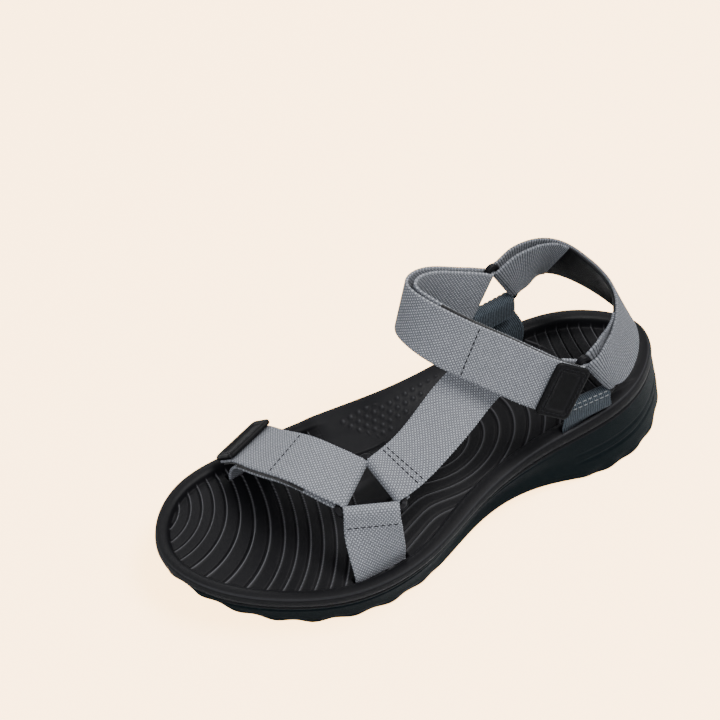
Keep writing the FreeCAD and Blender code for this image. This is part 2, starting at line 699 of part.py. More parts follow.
# ---------------------------------------------------------------- instep strap
INSTEP_CROSSING_MARK = 94.0       # where the instep strap runs in under the ankle strap
INSTEP_SKEW = math.radians(23.0)  # its lean from square to the ankle strap
INSTEP_TUCK = 18.0                # length sewn to the inner face of the ankle strap
INSTEP_RELIEF = 1.9               # room for the twist of the ankle strap above it
INSTEP_OFFSET = BASE_OFFSET - 2 * HALF_BAND - SEAM_GAP - INSTEP_RELIEF


def instep_under_ankle(reach):
    """Frame of the instep strap on the ankle strap's inner face, a distance past its lower edge."""
    mark = INSTEP_CROSSING_MARK + reach * math.sin(INSTEP_SKEW)
    host = ankle_surface.frame(mark, INSTEP_OFFSET)
    height = reach * math.cos(INSTEP_SKEW) - dim("webbing_width") / 2
    along = host.across * math.cos(INSTEP_SKEW) + host.along * math.sin(INSTEP_SKEW)
    across = host.along * -math.cos(INSTEP_SKEW) + host.across * math.sin(INSTEP_SKEW)
    return Frame(host.centre + host.across * height, along, across)


instep_bar_mid, instep_bar_out = toe_ring.bar(1)
instep_across = toe_ring.corner_direction(0) - toe_ring.corner_direction(2)
instep_entry = instep_under_ankle(0.0)
instep_end = instep_under_ankle(INSTEP_TUCK)
instep_surface = Ribbon([
    station(instep_bar_mid + toe_ring.normal * FOLD_RADIUS, instep_across),
    ((2.5, 16.6, 60.5), (0.38, -0.90, 0.16)),
    station(instep_entry.centre, instep_entry.across),
    station(instep_end.centre, instep_end.across),
], instep_bar_out, instep_end.along)
instep_fold = fold(instep_bar_mid, instep_across, toe_ring.normal, instep_bar_out * -1)
instep_frames = [leg(instep_fold[-1], 8.0)] + instep_fold[::-1]
instep_frames = [item.reversed() for item in instep_frames]
instep_frames += instep_surface.frames(TAIL_START, instep_surface.length, 0.0, 9)
band("instep_strap", instep_frames)

# ---------------------------------------------------------------- heel strap
heel_lateral_mid, heel_lateral_out = lateral_ring.bar(1)
heel_lateral_across = lateral_ring.corner_direction(0) - lateral_ring.corner_direction(2)
heel_medial_mid, heel_medial_out = medial_ring.bar(2)
heel_medial_across = medial_ring.corner_direction(0) - medial_ring.corner_direction(1)
heel_surface = Ribbon([
    station(heel_lateral_mid + lateral_ring.normal * FOLD_RADIUS, heel_lateral_across),
    ((-89.0, 28.5, 67.0), (0.57, -0.18, 0.80)),
    ((-102.6, 13.0, 73.5), (0.50, -0.08, 0.86)),
    ((-105.8, -5.0, 73.5), (0.35, 0.10, 0.93)),
    ((-98.7, -21.5, 77.5), (0.27, 0.15, 0.95)),
    ((-84.0, -29.3, 83.5), (0.40, 0.03, 0.92)),
    station(heel_medial_mid + medial_ring.normal * FOLD_RADIUS, heel_medial_across),
], heel_lateral_out, heel_medial_out * -1)
HEEL_HINGE_INSET = 9.0            # from each ring bar to the line the heel strap folds about
LINING_INSET = 30.0
LINING_OFFSET = -(HALF_BAND + dim("lining_thickness") / 2 + SEAM_GAP)
HEEL_LEG_OFFSET = -2 * FOLD_RADIUS
band("heel_strap", heel_surface.frames(HEEL_HINGE_INSET, heel_surface.length - HEEL_HINGE_INSET, 0.0, 20))
band("heel_lining", heel_surface.frames(LINING_INSET, heel_surface.length - LINING_INSET, LINING_OFFSET, 20),
     "lining_width", "lining_thickness")


def heel_loop(label, ring, bar_mid, bar_out, across, marks):
    """Returned end of the heel strap: round the front of a ring's rear bar and back inside."""
    frames = fold(bar_mid, across, ring.normal, bar_out * -1)
    inner = [heel_surface.frame(mark, HEEL_LEG_OFFSET) for mark in marks]
    if inner[0].along.dot(frames[-1].along) < 0:
        inner = [item.reversed() for item in inner]
    if inner[0].across.dot(frames[-1].across) < 0:
        inner = [Frame(item.centre, item.along, item.across * -1) for item in inner]
    return band(label, frames + inner)


LEG_MARKS = [7.0, 10.0, 13.0]
heel_loop("heel_loop_lateral", lateral_ring, heel_lateral_mid, heel_lateral_out,
          heel_lateral_across, LEG_MARKS)
heel_loop("heel_loop_medial", medial_ring, heel_medial_mid, heel_medial_out, heel_medial_across,
          [heel_surface.length - mark for mark in LEG_MARKS])

# ---------------------------------------------------------------- check and export
doc.recompute()
for item in doc.Objects:
    if "Invalid" in item.State or "Error" in item.State:
        raise RuntimeError("failed object: %s %s" % (item.Name, item.State))
os.makedirs("parts", exist_ok=True)
whole = FreeCAD.BoundBox()
for item in subparts:
    shape = item.Shape
    if shape.isNull() or not shape.isValid() or not shape.Solids:
        raise RuntimeError("bad shape: " + item.Label)
    shape.exportStep("parts/%s.step" % item.Label)
    whole.add(shape.BoundBox)
    print("%-20s %2d solid %9.1f mm3" % (item.Label, len(shape.Solids), shape.Volume))
print("size", whole)
for name, ribbon, frame in (("toe_strap_peel", toe_surface, toe_surface.frame(0.0)),
                            ("ankle_strap_peel", ankle_surface, ankle_peel_frame)):
    print(name, "pos", frame.centre + SHIFT, "axis", frame.across)
first_hinge = heel_surface.frame(HEEL_HINGE_INSET).centre
last_hinge = heel_surface.frame(heel_surface.length - HEEL_HINGE_INSET).centre
heel_fold_middle = (first_hinge + last_hinge) * 0.5 + SHIFT
print("heel_strap_fold pos", heel_fold_middle, "axis", unit(first_hinge - last_hinge))
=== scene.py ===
import math

import bmesh
import bpy
import numpy as np
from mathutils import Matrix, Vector


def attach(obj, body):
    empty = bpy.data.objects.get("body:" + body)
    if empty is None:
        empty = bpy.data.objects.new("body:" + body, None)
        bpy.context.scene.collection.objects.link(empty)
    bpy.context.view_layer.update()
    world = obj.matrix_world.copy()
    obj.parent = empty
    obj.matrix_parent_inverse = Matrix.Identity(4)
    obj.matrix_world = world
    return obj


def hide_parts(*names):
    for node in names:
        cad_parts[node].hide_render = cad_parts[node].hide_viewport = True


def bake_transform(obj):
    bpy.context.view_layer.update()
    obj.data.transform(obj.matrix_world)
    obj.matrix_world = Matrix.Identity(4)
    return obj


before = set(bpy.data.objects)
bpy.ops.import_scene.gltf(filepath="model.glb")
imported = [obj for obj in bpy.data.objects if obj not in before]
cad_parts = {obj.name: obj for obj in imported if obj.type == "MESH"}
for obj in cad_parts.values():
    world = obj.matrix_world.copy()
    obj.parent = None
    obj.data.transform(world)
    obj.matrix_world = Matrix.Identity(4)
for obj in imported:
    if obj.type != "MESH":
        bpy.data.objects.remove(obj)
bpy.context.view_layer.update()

MM = 0.001
SHIFT = np.array([3.7, -3.3, 0.0])      # stations are in millimetres, before this shift
WEBBING = 25.4                          # width of all the webbing
HALF = WEBBING / 2
STITCHED = 11.6                         # stitches reach this far from the middle line


def place(points):
    """Millimetre points as metres in the row frame."""
    return (np.asarray(points, float) + SHIFT) * MM


def unit(vectors):
    vectors = np.asarray(vectors, float)
    return vectors / np.linalg.norm(vectors, axis=-1, keepdims=True)


def smooth(value, low=0.0, high=1.0):
    t = np.clip((np.asarray(value, float) - low) / (high - low), 0, 1)
    return t * t * (3 - 2 * t)


def bell(value, width):
    return np.exp(-(value / width) ** 2)


def looped(points):
    return np.concatenate([points, points[:1]])


def facing(vector, other):
    """The vector or its opposite, whichever points the way of the other."""
    return vector if np.dot(vector, other) > 0 else -vector


# --- curves
class Curve:
    """Cubic spline through points at given marks."""

    def __init__(self, marks, values, first=None, last=None, closed=False):
        m = np.asarray(marks, float)
        p = np.asarray(values, float)
        if p.ndim == 1:
            p = p[:, None]
        if closed:
            period = m[-1] - m[0]
            m = np.concatenate([m[:-1] - period, m[:-1], m + period])
            p = np.concatenate([p[:-1], p[:-1], p])
        n = len(m)
        h = np.diff(m)
        a = np.zeros((n, n))
        b = np.zeros((n, p.shape[1]))
        slopes = np.diff(p, axis=0) / h[:, None]
        a[0, 0] = a[-1, -1] = 1
        if n > 2:
            b[0] = slopes[0] - h[0] * (slopes[1] - slopes[0]) / (h[0] + h[1])
            b[-1] = slopes[-1] + h[-1] * (slopes[-1] - slopes[-2]) / (h[-1] + h[-2])
        else:
            b[0] = b[-1] = slopes[0]
        if first is not None:
            b[0] = first
        if last is not None:
            b[-1] = last
        for i in range(1, n - 1):
            a[i, i - 1] = h[i]
            a[i, i] = 2 * (h[i - 1] + h[i])
            a[i, i + 1] = h[i - 1]
            b[i] = 3 * (h[i] * slopes[i - 1] + h[i - 1] * slopes[i])
        self.m, self.p, self.d = m, p, np.linalg.solve(a, b)

    def at(self, marks):
        """Values and slopes at marks."""
        t = np.atleast_1d(np.asarray(marks, float))
        i = np.clip(np.searchsorted(self.m, t, side="right") - 1, 0, len(self.m) - 2)
        h = (self.m[i + 1] - self.m[i])[:, None]
        s = (t - self.m[i])[:, None] / h
        p0, p1, d0, d1 = self.p[i], self.p[i + 1], self.d[i] * h, self.d[i + 1] * h
        value = ((2 * s**3 - 3 * s**2 + 1) * p0 + (s**3 - 2 * s**2 + s) * d0
                 + (-2 * s**3 + 3 * s**2) * p1 + (s**3 - s**2) * d1)
        slope = ((6 * s**2 - 6 * s) * p0 + (3 * s**2 - 4 * s + 1) * d0
                 + (-6 * s**2 + 6 * s) * p1 + (3 * s**2 - 2 * s) * d1) / h
        return value, slope


def marks_of(points):
    points = np.asarray(points, float)
    return np.concatenate([[0], np.cumsum(np.linalg.norm(np.diff(points, axis=0), axis=1))])


class Section:
    """Section of a band: centre, along, across, normal and width."""

    def __init__(self, centre, along, across, width=WEBBING):
        self.centre = np.asarray(centre, float)
        self.along = unit(along)
        across = np.asarray(across, float)
        self.across = unit(across - self.along * np.dot(self.along, across))
        self.normal = np.cross(self.along, self.across)
        self.width = width

    def moved(self, offset):
        return Section(self.centre + self.normal * offset, self.along, self.across, self.width)


class Ribbon:
    """Band surface through stations of centre and across direction."""

    def __init__(self, stations, first_along, last_along=None):
        centres = np.array([c for c, a in stations], float)
        acrosses = unit([a for c, a in stations])
        marks = marks_of(centres)
        if last_along is None:
            last_along = unit(centres[-1] - centres[-2])
        self.length = marks[-1]
        self.centres = Curve(marks, centres, first_along, last_along)
        self.acrosses = Curve(marks, acrosses)

    def section(self, mark, offset=0.0):
        centre, along = self.centres.at(mark)
        across = self.acrosses.at(mark)[0]
        return Section(centre[0], along[0], across[0]).moved(offset)

    def sections(self, first, last, offset, steps):
        result = []
        for mark in np.linspace(first, last, steps + 1):
            amount = offset(mark) if callable(offset) else offset
            result.append(self.section(mark, amount))
        return result


LOOP_WIDTH = 24.4
FOLD_RADIUS = 2.5


def fold(centre, across, radial, along):
    """Webbing folded half round a bar; radial points from the bar to the band at the start."""
    across = unit(across)
    if np.dot(np.cross(along, across), radial) < 0:
        across = -across
    result = []
    for angle in np.radians(np.linspace(0, 180.0, 9)):
        out = radial * math.cos(angle) + along * math.sin(angle)
        forward = along * math.cos(angle) - radial * math.sin(angle)
        result.append(Section(centre + out * FOLD_RADIUS, forward, across, LOOP_WIDTH))
    return result


def root_fold(ribbon):
    """The fold that a ribbon grows out of, with the ribbon's own across direction."""
    root = ribbon.section(0.0)
    turn = fold(root.centre, root.across, root.normal, -root.along)
    return [Section(s.centre, s.along, root.across, s.width) for s in turn]


def turned(sections):
    """The same run of sections travelled the other way, same face outwards."""
    return [Section(s.centre, -s.along, -s.across, s.width) for s in reversed(sections)]


# --- meshes
def add_mesh(name, verts, faces, uv=None, material=None):
    """A smooth-shaded object; verts are in metres."""
    mesh = bpy.data.meshes.new(name)
    corners = [tuple(int(i) for i in f) for f in faces]
    mesh.from_pydata([tuple(v) for v in verts], [], corners)
    if uv is not None:
        layer = mesh.uv_layers.new(name="UVMap")
        loops = np.empty(len(mesh.loops), np.int32)
        mesh.loops.foreach_get("vertex_index", loops)
        layer.data.foreach_set("uv", np.asarray(uv, np.float32)[loops].ravel())
    mesh.validate()
    mesh.polygons.foreach_set("use_smooth", [True] * len(mesh.polygons))
    obj = bpy.data.objects.new(name, mesh)
    bpy.context.scene.collection.objects.link(obj)
    if material is not None:
        mesh.materials.append(material)
    return obj


def add_highlight(obj, highlight):
    """Stores the painted highlight of each point, for the material to read."""
    layer = obj.data.attributes.new("highlight", "FLOAT", "POINT")
    layer.data.foreach_set("value", np.clip(np.asarray(highlight, np.float32), 0, 1))


def welded(obj, reach=1e-6):
    """Joins points that lie at the same place."""
    work = bmesh.new()
    work.from_mesh(obj.data)
    bmesh.ops.remove_doubles(work, verts=work.verts, dist=reach)
    work.to_mesh(obj.data)
    work.free()


def grid_faces(rows, columns):
    """Quads between neighbouring points of rows that each close on themselves."""
    rr, cc = np.meshgrid(np.arange(rows - 1), np.arange(columns), indexing="ij")
    a = rr * columns + cc
    b = rr * columns + (cc + 1) % columns
    return np.stack([a, b, b + columns, a + columns], axis=-1).reshape(-1, 4)


class Band:
    """A fine strip along sections; it keeps its surface so that stitches can follow it."""

    def __init__(self, sections, step=0.5, thickness=1.5, outer=None):
        centres = np.array([s.centre for s in sections])
        marks = marks_of(centres)
        keep = np.concatenate([[True], np.diff(marks) > 1e-6])
        sections = [s for s, k in zip(sections, keep) if k]
        centres, marks = centres[keep], marks[keep]
        acrosses = np.array([s.across for s in sections])
        for i in range(1, len(acrosses)):
            if np.dot(acrosses[i], acrosses[i - 1]) < 0:
                acrosses[i] = -acrosses[i]
        widths = np.array([s.width for s in sections])
        self.length = marks[-1]
        self.thickness = thickness
        count = max(int(self.length / step), 4)
        self.t = np.linspace(0, self.length, count + 1)
        curve = Curve(marks, centres, sections[0].along, sections[-1].along)
        centre, along = curve.at(self.t)
        along = unit(along)
        across = self.between(self.t, marks, acrosses)
        across = unit(across - along * np.sum(across * along, axis=1, keepdims=True))
        self.centre, self.along, self.across = centre, along, across
        self.normal = np.cross(along, across)
        if outer is not None and np.mean(self.normal @ np.asarray(outer, float)) < 0:
            self.across, self.normal = -self.across, -self.normal
        self.width = np.interp(self.t, marks, widths)

    @staticmethod
    def between(mark, marks, vectors):
        return np.stack([np.interp(mark, marks, vectors[:, k]) for k in range(3)], -1)

    def point(self, mark, side, height):
        """The point at a mark, a distance across and a height over the middle of the band."""
        c = self.between(mark, self.t, self.centre)
        a = unit(self.between(mark, self.t, self.across))
        n = unit(self.between(mark, self.t, self.normal))
        return c + a * (side * (np.interp(mark, self.t, self.width) / WEBBING)) + n * height

    def mark_near(self, point):
        return self.t[np.argmin(np.linalg.norm(self.centre - point, axis=1))]

    def mesh(self, name, material, edge_wave=0.16, edge_pitch=1.3):
        """Closed strip with rounded, slightly toothed edges."""
        flat, rounding, other_face = 37, 0.9, 60
        thick = self.thickness / 2
        inner = np.linspace(-HALF + rounding, HALF - rounding, flat)
        bow = np.radians(np.linspace(-90, 90, 7))[1:-1]
        edge_x = HALF - rounding + rounding * np.cos(bow)
        edge_z = thick * np.sin(bow)
        x = np.concatenate([inner, edge_x[::-1], inner[::-1], -edge_x])
        z = np.concatenate([np.full(flat, thick), edge_z[::-1], np.full(flat, -thick), edge_z])
        v = np.concatenate([inner, edge_x[::-1], inner[::-1] + other_face, -edge_x])
        rows = len(self.t)
        t = self.t[:, None]
        edge = smooth(np.abs(x), 10.8, 12.4)[None, :] * np.sign(x)[None, :]
        phase = 2 * np.pi * t / edge_pitch + (np.sign(x)[None, :] * 1.3)
        wave = edge * edge_wave * np.sin(phase)
        scale = (self.width / WEBBING)[:, None]
        side = (x[None, :] + wave) * scale
        points = (self.centre[:, None, :] + self.across[:, None, :] * side[..., None]
                  + self.normal[:, None, :] * z[None, :, None])
        columns = len(x)
        uv = np.stack(np.broadcast_arrays(t, v[None, :]), -1).reshape(-1, 2)
        faces = [grid_faces(rows, columns)[:, ::-1]]
        for start, turn in ((0, -1), ((rows - 1) * columns, 1)):
            ring = np.arange(start, start + columns)
            top = ring[:flat]
            bottom = ring[flat + len(bow):2 * flat + len(bow)][::-1]
            strip = np.stack([top[:-1], top[1:], bottom[1:], bottom[:-1]], -1)
            faces.append(strip[:, ::turn])
        verts = place(points.reshape(-1, 3))
        return add_mesh(name, verts, np.concatenate(faces), uv * 0.01, material)


def capsule_mesh(name, starts, ends, ups, radius, material):
    """Short rounded threads from start to end points."""
    flatness, sides = 0.7, 8
    starts, ends, ups = (np.asarray(v, float) for v in (starts, ends, ups))
    axis = ends - starts
    length = np.linalg.norm(axis, axis=1, keepdims=True)
    axis = axis / length
    side = unit(np.cross(axis, ups))
    up = np.cross(side, axis)
    stations = [(0.0, 0.35), (0.12, 0.8), (0.3, 1.0), (0.7, 1.0), (0.88, 0.8), (1.0, 0.35)]
    angles = np.linspace(0, 2 * np.pi, sides, endpoint=False)
    verts, faces = [], []
    ring = np.arange(sides)
    for k in range(len(starts)):
        base = k * len(stations) * sides
        for f, w in stations:
            arch = math.sin(math.pi * f) * radius * 0.5
            centre = starts[k] + axis[k] * length[k] * f + up[k] * arch
            for a in angles:
                verts.append(centre + side[k] * (math.cos(a) * radius * w)
                             + up[k] * (math.sin(a) * radius * w * flatness))
        for j in range(len(stations) - 1):
            a = base + j * sides + ring
            b = base + j * sides + (ring + 1) % sides
            c = a + sides
            d = b + sides
            faces += [tuple(q) for q in np.stack([a, b, d, c], -1)]
        faces.append(tuple(base + ring[::-1]))
        faces.append(tuple(base + (len(stations) - 1) * sides + ring))
    return add_mesh(name, place(np.array(verts)), faces, None, material)


def seam(name, band, first, last, half, material, body):
    """A row of stitches across a band, from a mark at one edge to a mark at the other."""
    pitch, length, height, radius = 2.9, 2.1, 0.80, 0.27
    count = int(math.hypot(last - first, 2 * half) / pitch)

    def on_band(share, over):
        return band.point(first + (last - first) * share, -half + 2 * half * share, over)

    starts, ends, ups = [], [], []
    for k in range(count):
        f0 = (k + 0.5 - length / pitch / 2) / count
        f1 = (k + 0.5 + length / pitch / 2) / count
        starts.append(on_band(f0, height))
        ends.append(on_band(f1, height))
        ups.append((starts[-1] + ends[-1]) / 2 - on_band((f0 + f1) / 2, 0.0))
    ridden(capsule_mesh(name, starts, ends, ups, radius, material), body)


# --- materials
class Nodes:
    """Small helper for building a node tree."""

    def __init__(self, name):
        self.material = bpy.data.materials.new(name)
        self.material.use_nodes = True
        self.tree = self.material.node_tree
        self.shader = self.tree.nodes["Principled BSDF"]

    def node(self, kind, **values):
        item = self.tree.nodes.new(kind)
        for key, value in values.items():
            setattr(item, key, value)
        return item

    def link(self, output, target):
        self.tree.links.new(output, target)

    def math(self, operation, first, second=None, third=None):
        item = self.node("ShaderNodeMath", operation=operation)
        for number, value in enumerate((first, second, third)):
            if value is None:
                continue
            if isinstance(value, (int, float)):
                item.inputs[number].default_value = value
            else:
                self.link(value, item.inputs[number])
        return item.outputs[0]

    def noise(self, scale, detail=3.0, vector=None):
        item = self.node("ShaderNodeTexNoise")
        item.inputs["Scale"].default_value = scale
        item.inputs["Detail"].default_value = detail
        if vector is not None:
            self.link(vector, item.inputs["Vector"])
        return item.outputs["Fac"]

    def ramp(self, value, stops):
        item = self.node("ShaderNodeValToRGB")
        ramp = item.color_ramp
        while len(ramp.elements) < len(stops):
            ramp.elements.new(0.5)
        for element, (position, colour) in zip(ramp.elements, stops):
            element.position = position
            element.color = (*colour, 1)
        self.link(value, item.inputs["Fac"])
        return item.outputs["Color"]

    def mix(self, value, first, second, blend="MIX"):
        item = self.node("ShaderNodeMix", data_type="RGBA", blend_type=blend)
        for number, content in ((0, value), (6, first), (7, second)):
            socket = item.inputs[number]
            if isinstance(content, (int, float)):
                socket.default_value = content
            elif isinstance(content, tuple):
                socket.default_value = (*content, 1)
            else:
                self.link(content, socket)
        return item.outputs[2]

    def bump(self, height, strength, distance):
        item = self.node("ShaderNodeBump")
        item.inputs["Strength"].default_value = strength
        item.inputs["Distance"].default_value = distance
        self.link(height, item.inputs["Height"])
        self.link(item.outputs["Normal"], self.shader.inputs["Normal"])

    def finish(self, colour=None, roughness=0.5, **constants):
        if colour is not None:
            if isinstance(colour, tuple):
                self.shader.inputs["Base Color"].default_value = (*colour, 1)
            else:
                self.link(colour, self.shader.inputs["Base Color"])
        if isinstance(roughness, (int, float)):
            self.shader.inputs["Roughness"].default_value = roughness
        else:
            self.link(roughness, self.shader.inputs["Roughness"])
        for key, value in constants.items():
            self.shader.inputs[key.replace("_", " ")].default_value = value
        return self.material


def webbing_material(name, light, dark, along_pitch, across_pitch, ribbed=0.0, lengthwise=False):
    """Woven polyester: light yarn crowns over dark gaps, on the strip's own length and width."""
    n = Nodes(name)
    uv = n.node("ShaderNodeUVMap", uv_map="UVMap").outputs["UV"]
    split = n.node("ShaderNodeSeparateXYZ")
    n.link(uv, split.inputs[0])
    u = n.math("MULTIPLY", split.outputs["X"], 100.0)
    v = n.math("MULTIPLY", split.outputs["Y"], 100.0)
    wander = n.noise(160.0, 2.0, uv)
    wander = n.math("MULTIPLY", n.math("SUBTRACT", wander, 0.5), 0.5)
    a = n.math("SINE", n.math("MULTIPLY", n.math("ADD", u, wander), math.pi / along_pitch))
    b = n.math("SINE", n.math("MULTIPLY", n.math("ADD", v, wander), math.pi / across_pitch))
    product = n.math("MULTIPLY", a, b)
    crowns = n.math("POWER", n.math("ABSOLUTE", product), 0.5)
    signed = n.math("MULTIPLY_ADD", product, 0.25, 0.25)
    checker = n.math("ADD", n.math("MULTIPLY", crowns, 0.5), signed)
    ribs = n.math("ABSOLUTE", b if lengthwise else a)
    yarn = n.math("MULTIPLY", u if lengthwise else v, math.pi / 0.55)
    fine = n.math("ABSOLUTE", n.math("SINE", yarn))
    ribs = n.math("MULTIPLY", ribs, n.math("MULTIPLY_ADD", fine, 0.45, 0.55))
    ribs = n.math("MULTIPLY", ribs, ribbed)
    height = n.math("ADD", n.math("MULTIPLY", checker, 1.0 - ribbed), ribs)
    fibre = n.noise(2600.0, 2.0)
    blotch = n.noise(90.0, 4.0)
    middle = tuple(x * 0.42 + y * 0.58 for x, y in zip(light, dark))
    colour = n.ramp(height, [(0.18, dark), (0.52, middle), (0.88, light)])
    shade = n.ramp(blotch, [(0.3, (0.78, 0.80, 0.84)), (0.7, (1.0, 1.0, 1.0))])
    colour = n.mix(0.9, colour, shade, "MULTIPLY")
    flecks = n.ramp(fibre, [(0.35, (0.72, 0.72, 0.72)), (0.65, (1.0, 1.0, 1.0))])
    colour = n.mix(0.55, colour, flecks, "MULTIPLY")
    relief = n.math("ADD", height, n.math("MULTIPLY", fibre, 0.18))
    n.bump(relief, 0.75, 0.00035)
    return n.finish(colour, 0.78, Sheen_Weight=0.04, Sheen_Roughness=0.5, Specular_IOR_Level=0.2)


def rubber_material(name, colour, edge, roughness, grain, scale=1800.0, stored_highlight=False,
                    specular=0.12):
    """Moulded foam, rubber or plastic: fine grain, with a painted highlight on raised edges."""
    n = Nodes(name)
    fine = n.noise(scale, 3.0)
    broad = n.noise(60.0, 5.0)
    # The raised-edge mask is a painted highlight: stored on the mesh, or else taken from
    # pointiness.
    if stored_highlight:
        edge_highlight = n.node("ShaderNodeAttribute", attribute_name="highlight").outputs["Fac"]
    else:
        points = n.node("ShaderNodeNewGeometry").outputs["Pointiness"]
        edge_highlight = n.ramp(points, [(0.505, (0.0, 0.0, 0.0)), (0.56, (1.0, 1.0, 1.0))])
    base = n.mix(broad, colour, tuple(c * 1.35 for c in colour))
    # edge is the colour of the painted highlight
    tone = n.mix(edge_highlight, base, edge)
    rough = n.math("MULTIPLY_ADD", broad, 0.16, roughness - 0.08)
    n.bump(fine, grain, 0.00012)
    return n.finish(tone, rough, Specular_IOR_Level=specular)


def pile_material(name, colour):
    """Hook or loop tape: a dense dark pile."""
    n = Nodes(name)
    cells = n.node("ShaderNodeTexVoronoi")
    cells.inputs["Scale"].default_value = 1100.0
    tip = tuple(c * 3.0 for c in colour)
    shade = n.ramp(cells.outputs["Distance"], [(0.0, tip), (0.6, colour)])
    n.bump(cells.outputs["Distance"], 0.9, 0.0004)
    return n.finish(shade, 0.9, Sheen_Weight=0.2)


webbing = webbing_material(
    "webbing", (0.54, 0.555, 0.60), (0.011, 0.014, 0.020), 0.92, 0.80)
webbing_ribbed = webbing_material(
    "webbing_ribbed", (0.37, 0.38, 0.41), (0.045, 0.050, 0.060), 0.95, 1.2, 0.6)
webbing_rear = webbing_material(
    "webbing_rear", (0.105, 0.130, 0.155), (0.004, 0.007, 0.011), 1.0, 1.0, 0.85, True)
footbed_foam = rubber_material(
    "footbed_foam", (0.0050, 0.0050, 0.0060), (0.115, 0.115, 0.125), 0.46, 0.25, stored_highlight=True)
midsole_foam = rubber_material(
    "midsole_foam", (0.0016, 0.0046, 0.0060), (0.006, 0.012, 0.015), 0.5, 0.3, specular=0.06)
outsole_rubber = rubber_material(
    "outsole_rubber", (0.0016, 0.0046, 0.0058), (0.006, 0.012, 0.015), 0.6, 0.4, specular=0.06)
ring_plastic = rubber_material(
    "ring_plastic", (0.005, 0.005, 0.006), (0.02, 0.02, 0.023), 0.36, 0.12)
tab_rubber = rubber_material(
    "tab_rubber", (0.0045, 0.0045, 0.005), (0.022, 0.022, 0.024), 0.5, 0.3)
thread_dark = rubber_material(
    "thread_dark", (0.012, 0.012, 0.014), (0.05, 0.05, 0.055), 0.7, 0.6, 5000.0)
thread_light = rubber_material(
    "thread_light", (0.20, 0.21, 0.22), (0.3, 0.3, 0.32), 0.75, 0.6, 5000.0)
hook_tape = pile_material("hook_tape", (0.007, 0.007, 0.008))
loop_tape = pile_material("loop_tape", (0.010, 0.010, 0.011))


def lining_material():
    n = Nodes("lining")
    cells = n.node("ShaderNodeTexVoronoi")
    cells.inputs["Scale"].default_value = 900.0
    wrinkle = n.noise(140.0, 4.0)
    height = n.math("ADD", n.math("MULTIPLY", cells.outputs["Distance"], 0.5), wrinkle)
    tone = n.mix(wrinkle, (0.0035, 0.0035, 0.0042), (0.008, 0.008, 0.009))
    n.bump(height, 0.35, 0.0003)
    return n.finish(tone, 0.45, Specular_IOR_Level=0.18)


lining = lining_material()


# --- sole
RIM_OUTLINE = np.array([      # x, y, how far the foot and the top stand out
    (130.5, -8.0, -2.5, 1.5), (121.0, 16.0, -3.0, 2.0), (96.0, 38.0, -3.5, 3.0),
    (62.0, 52.5, -3.5, 3.0), (28.0, 51.5, -3.0, 2.5), (-8.0, 39.0, -1.0, 1.0),
    (-45.0, 33.5, 3.0, -0.5), (-80.0, 34.5, 7.0, -1.0), (-108.0, 26.0, 10.0, -1.0),
    (-128.5, -2.0, 11.5, -1.0), (-110.0, -24.0, 9.0, -1.0), (-80.0, -33.0, 6.0, -1.5),
    (-40.0, -33.0, 1.0, 0.0), (0.0, -35.5, -1.0, 1.0), (40.0, -43.0, -2.5, 2.0),
    (78.0, -46.5, -3.0, 2.0), (110.0, -40.5, -3.0, 2.0), (125.0, -27.0, -3.0, 1.5),
])
SIDE_PROFILE = np.array([     # x, lateral rim, medial rim, depth of the foot field
    (-150.0, 38.5, 38.5, 5.0), (-115.0, 38.5, 40.0, 5.0), (-80.0, 36.0, 43.0, 4.5),
    (-45.0, 29.0, 43.0, 3.5), (-10.0, 24.0, 38.0, 3.0), (30.0, 24.0, 30.5, 2.5),
    (70.0, 22.5, 26.0, 2.5), (105.0, 23.0, 26.0, 2.5), (127.5, 25.5, 25.5, 2.5),
    (150.0, 29.0, 29.0, 2.5),
])
side_curve = Curve(SIDE_PROFILE[:, 0], SIDE_PROFILE[:, 1:])
TREAD = [[(-160.0, 17.0), (-139.0, 8.5), (-124.0, 2.0), (-112.0, 0.0)],
         [(-72.0, 0.0), (-45.0, 4.6), (-15.0, 5.6), (15.0, 2.6), (38.0, 0.0)],
         [(84.0, 0.0), (104.0, 4.6), (127.0, 15.5), (160.0, 33.0)]]


def tread_height(x):
    """Height of the underside, from heel rise to toe spring."""
    x = np.asarray(x, float)
    z = np.zeros(x.shape)
    for run in TREAD:
        run = np.array(run)
        curve = Curve(run[:, 0], run[:, 1])
        inside = (x > run[0, 0]) & (x < run[-1, 0])
        z[inside] = curve.at(x[inside])[0][:, 0]
    return np.maximum(z, 0.0)


def rim_height(x, y):
    values = side_curve.at(x)[0]
    return values[:, 0] + (values[:, 1] - values[:, 0]) * (75.0 - y) / 150.0


def field_depth(x):
    return side_curve.at(x)[0][:, 2]


SAMPLES = 1500
loop_marks = marks_of(looped(RIM_OUTLINE[:, :2]))
before = np.roll(RIM_OUTLINE[:, :2], 1, axis=0)
after = np.roll(RIM_OUTLINE[:, :2], -1, axis=0)
tangent = unit(after - before)
normal2 = np.stack([tangent[:, 1], -tangent[:, 0]], 1)
ground_loop = RIM_OUTLINE[:, :2] + normal2 * RIM_OUTLINE[:, 2:3]
top_loop = RIM_OUTLINE[:, :2] + normal2 * RIM_OUTLINE[:, 3:4]
ground_curve = Curve(loop_marks, looped(ground_loop), closed=True)
top_curve = Curve(loop_marks, looped(top_loop), closed=True)
arc = np.linspace(0, loop_marks[-1], SAMPLES, endpoint=False)
ground = ground_curve.at(arc)[0]
top, top_slope = top_curve.at(arc)
outward = unit(np.stack([top_slope[:, 1], -top_slope[:, 0]], 1))
WALL = 45.0


def wall_point(z):
    """Plan points of the side wall at heights z, one per sample of the outline."""
    return ground + (top - ground) * (np.asarray(z) / WALL)[:, None]


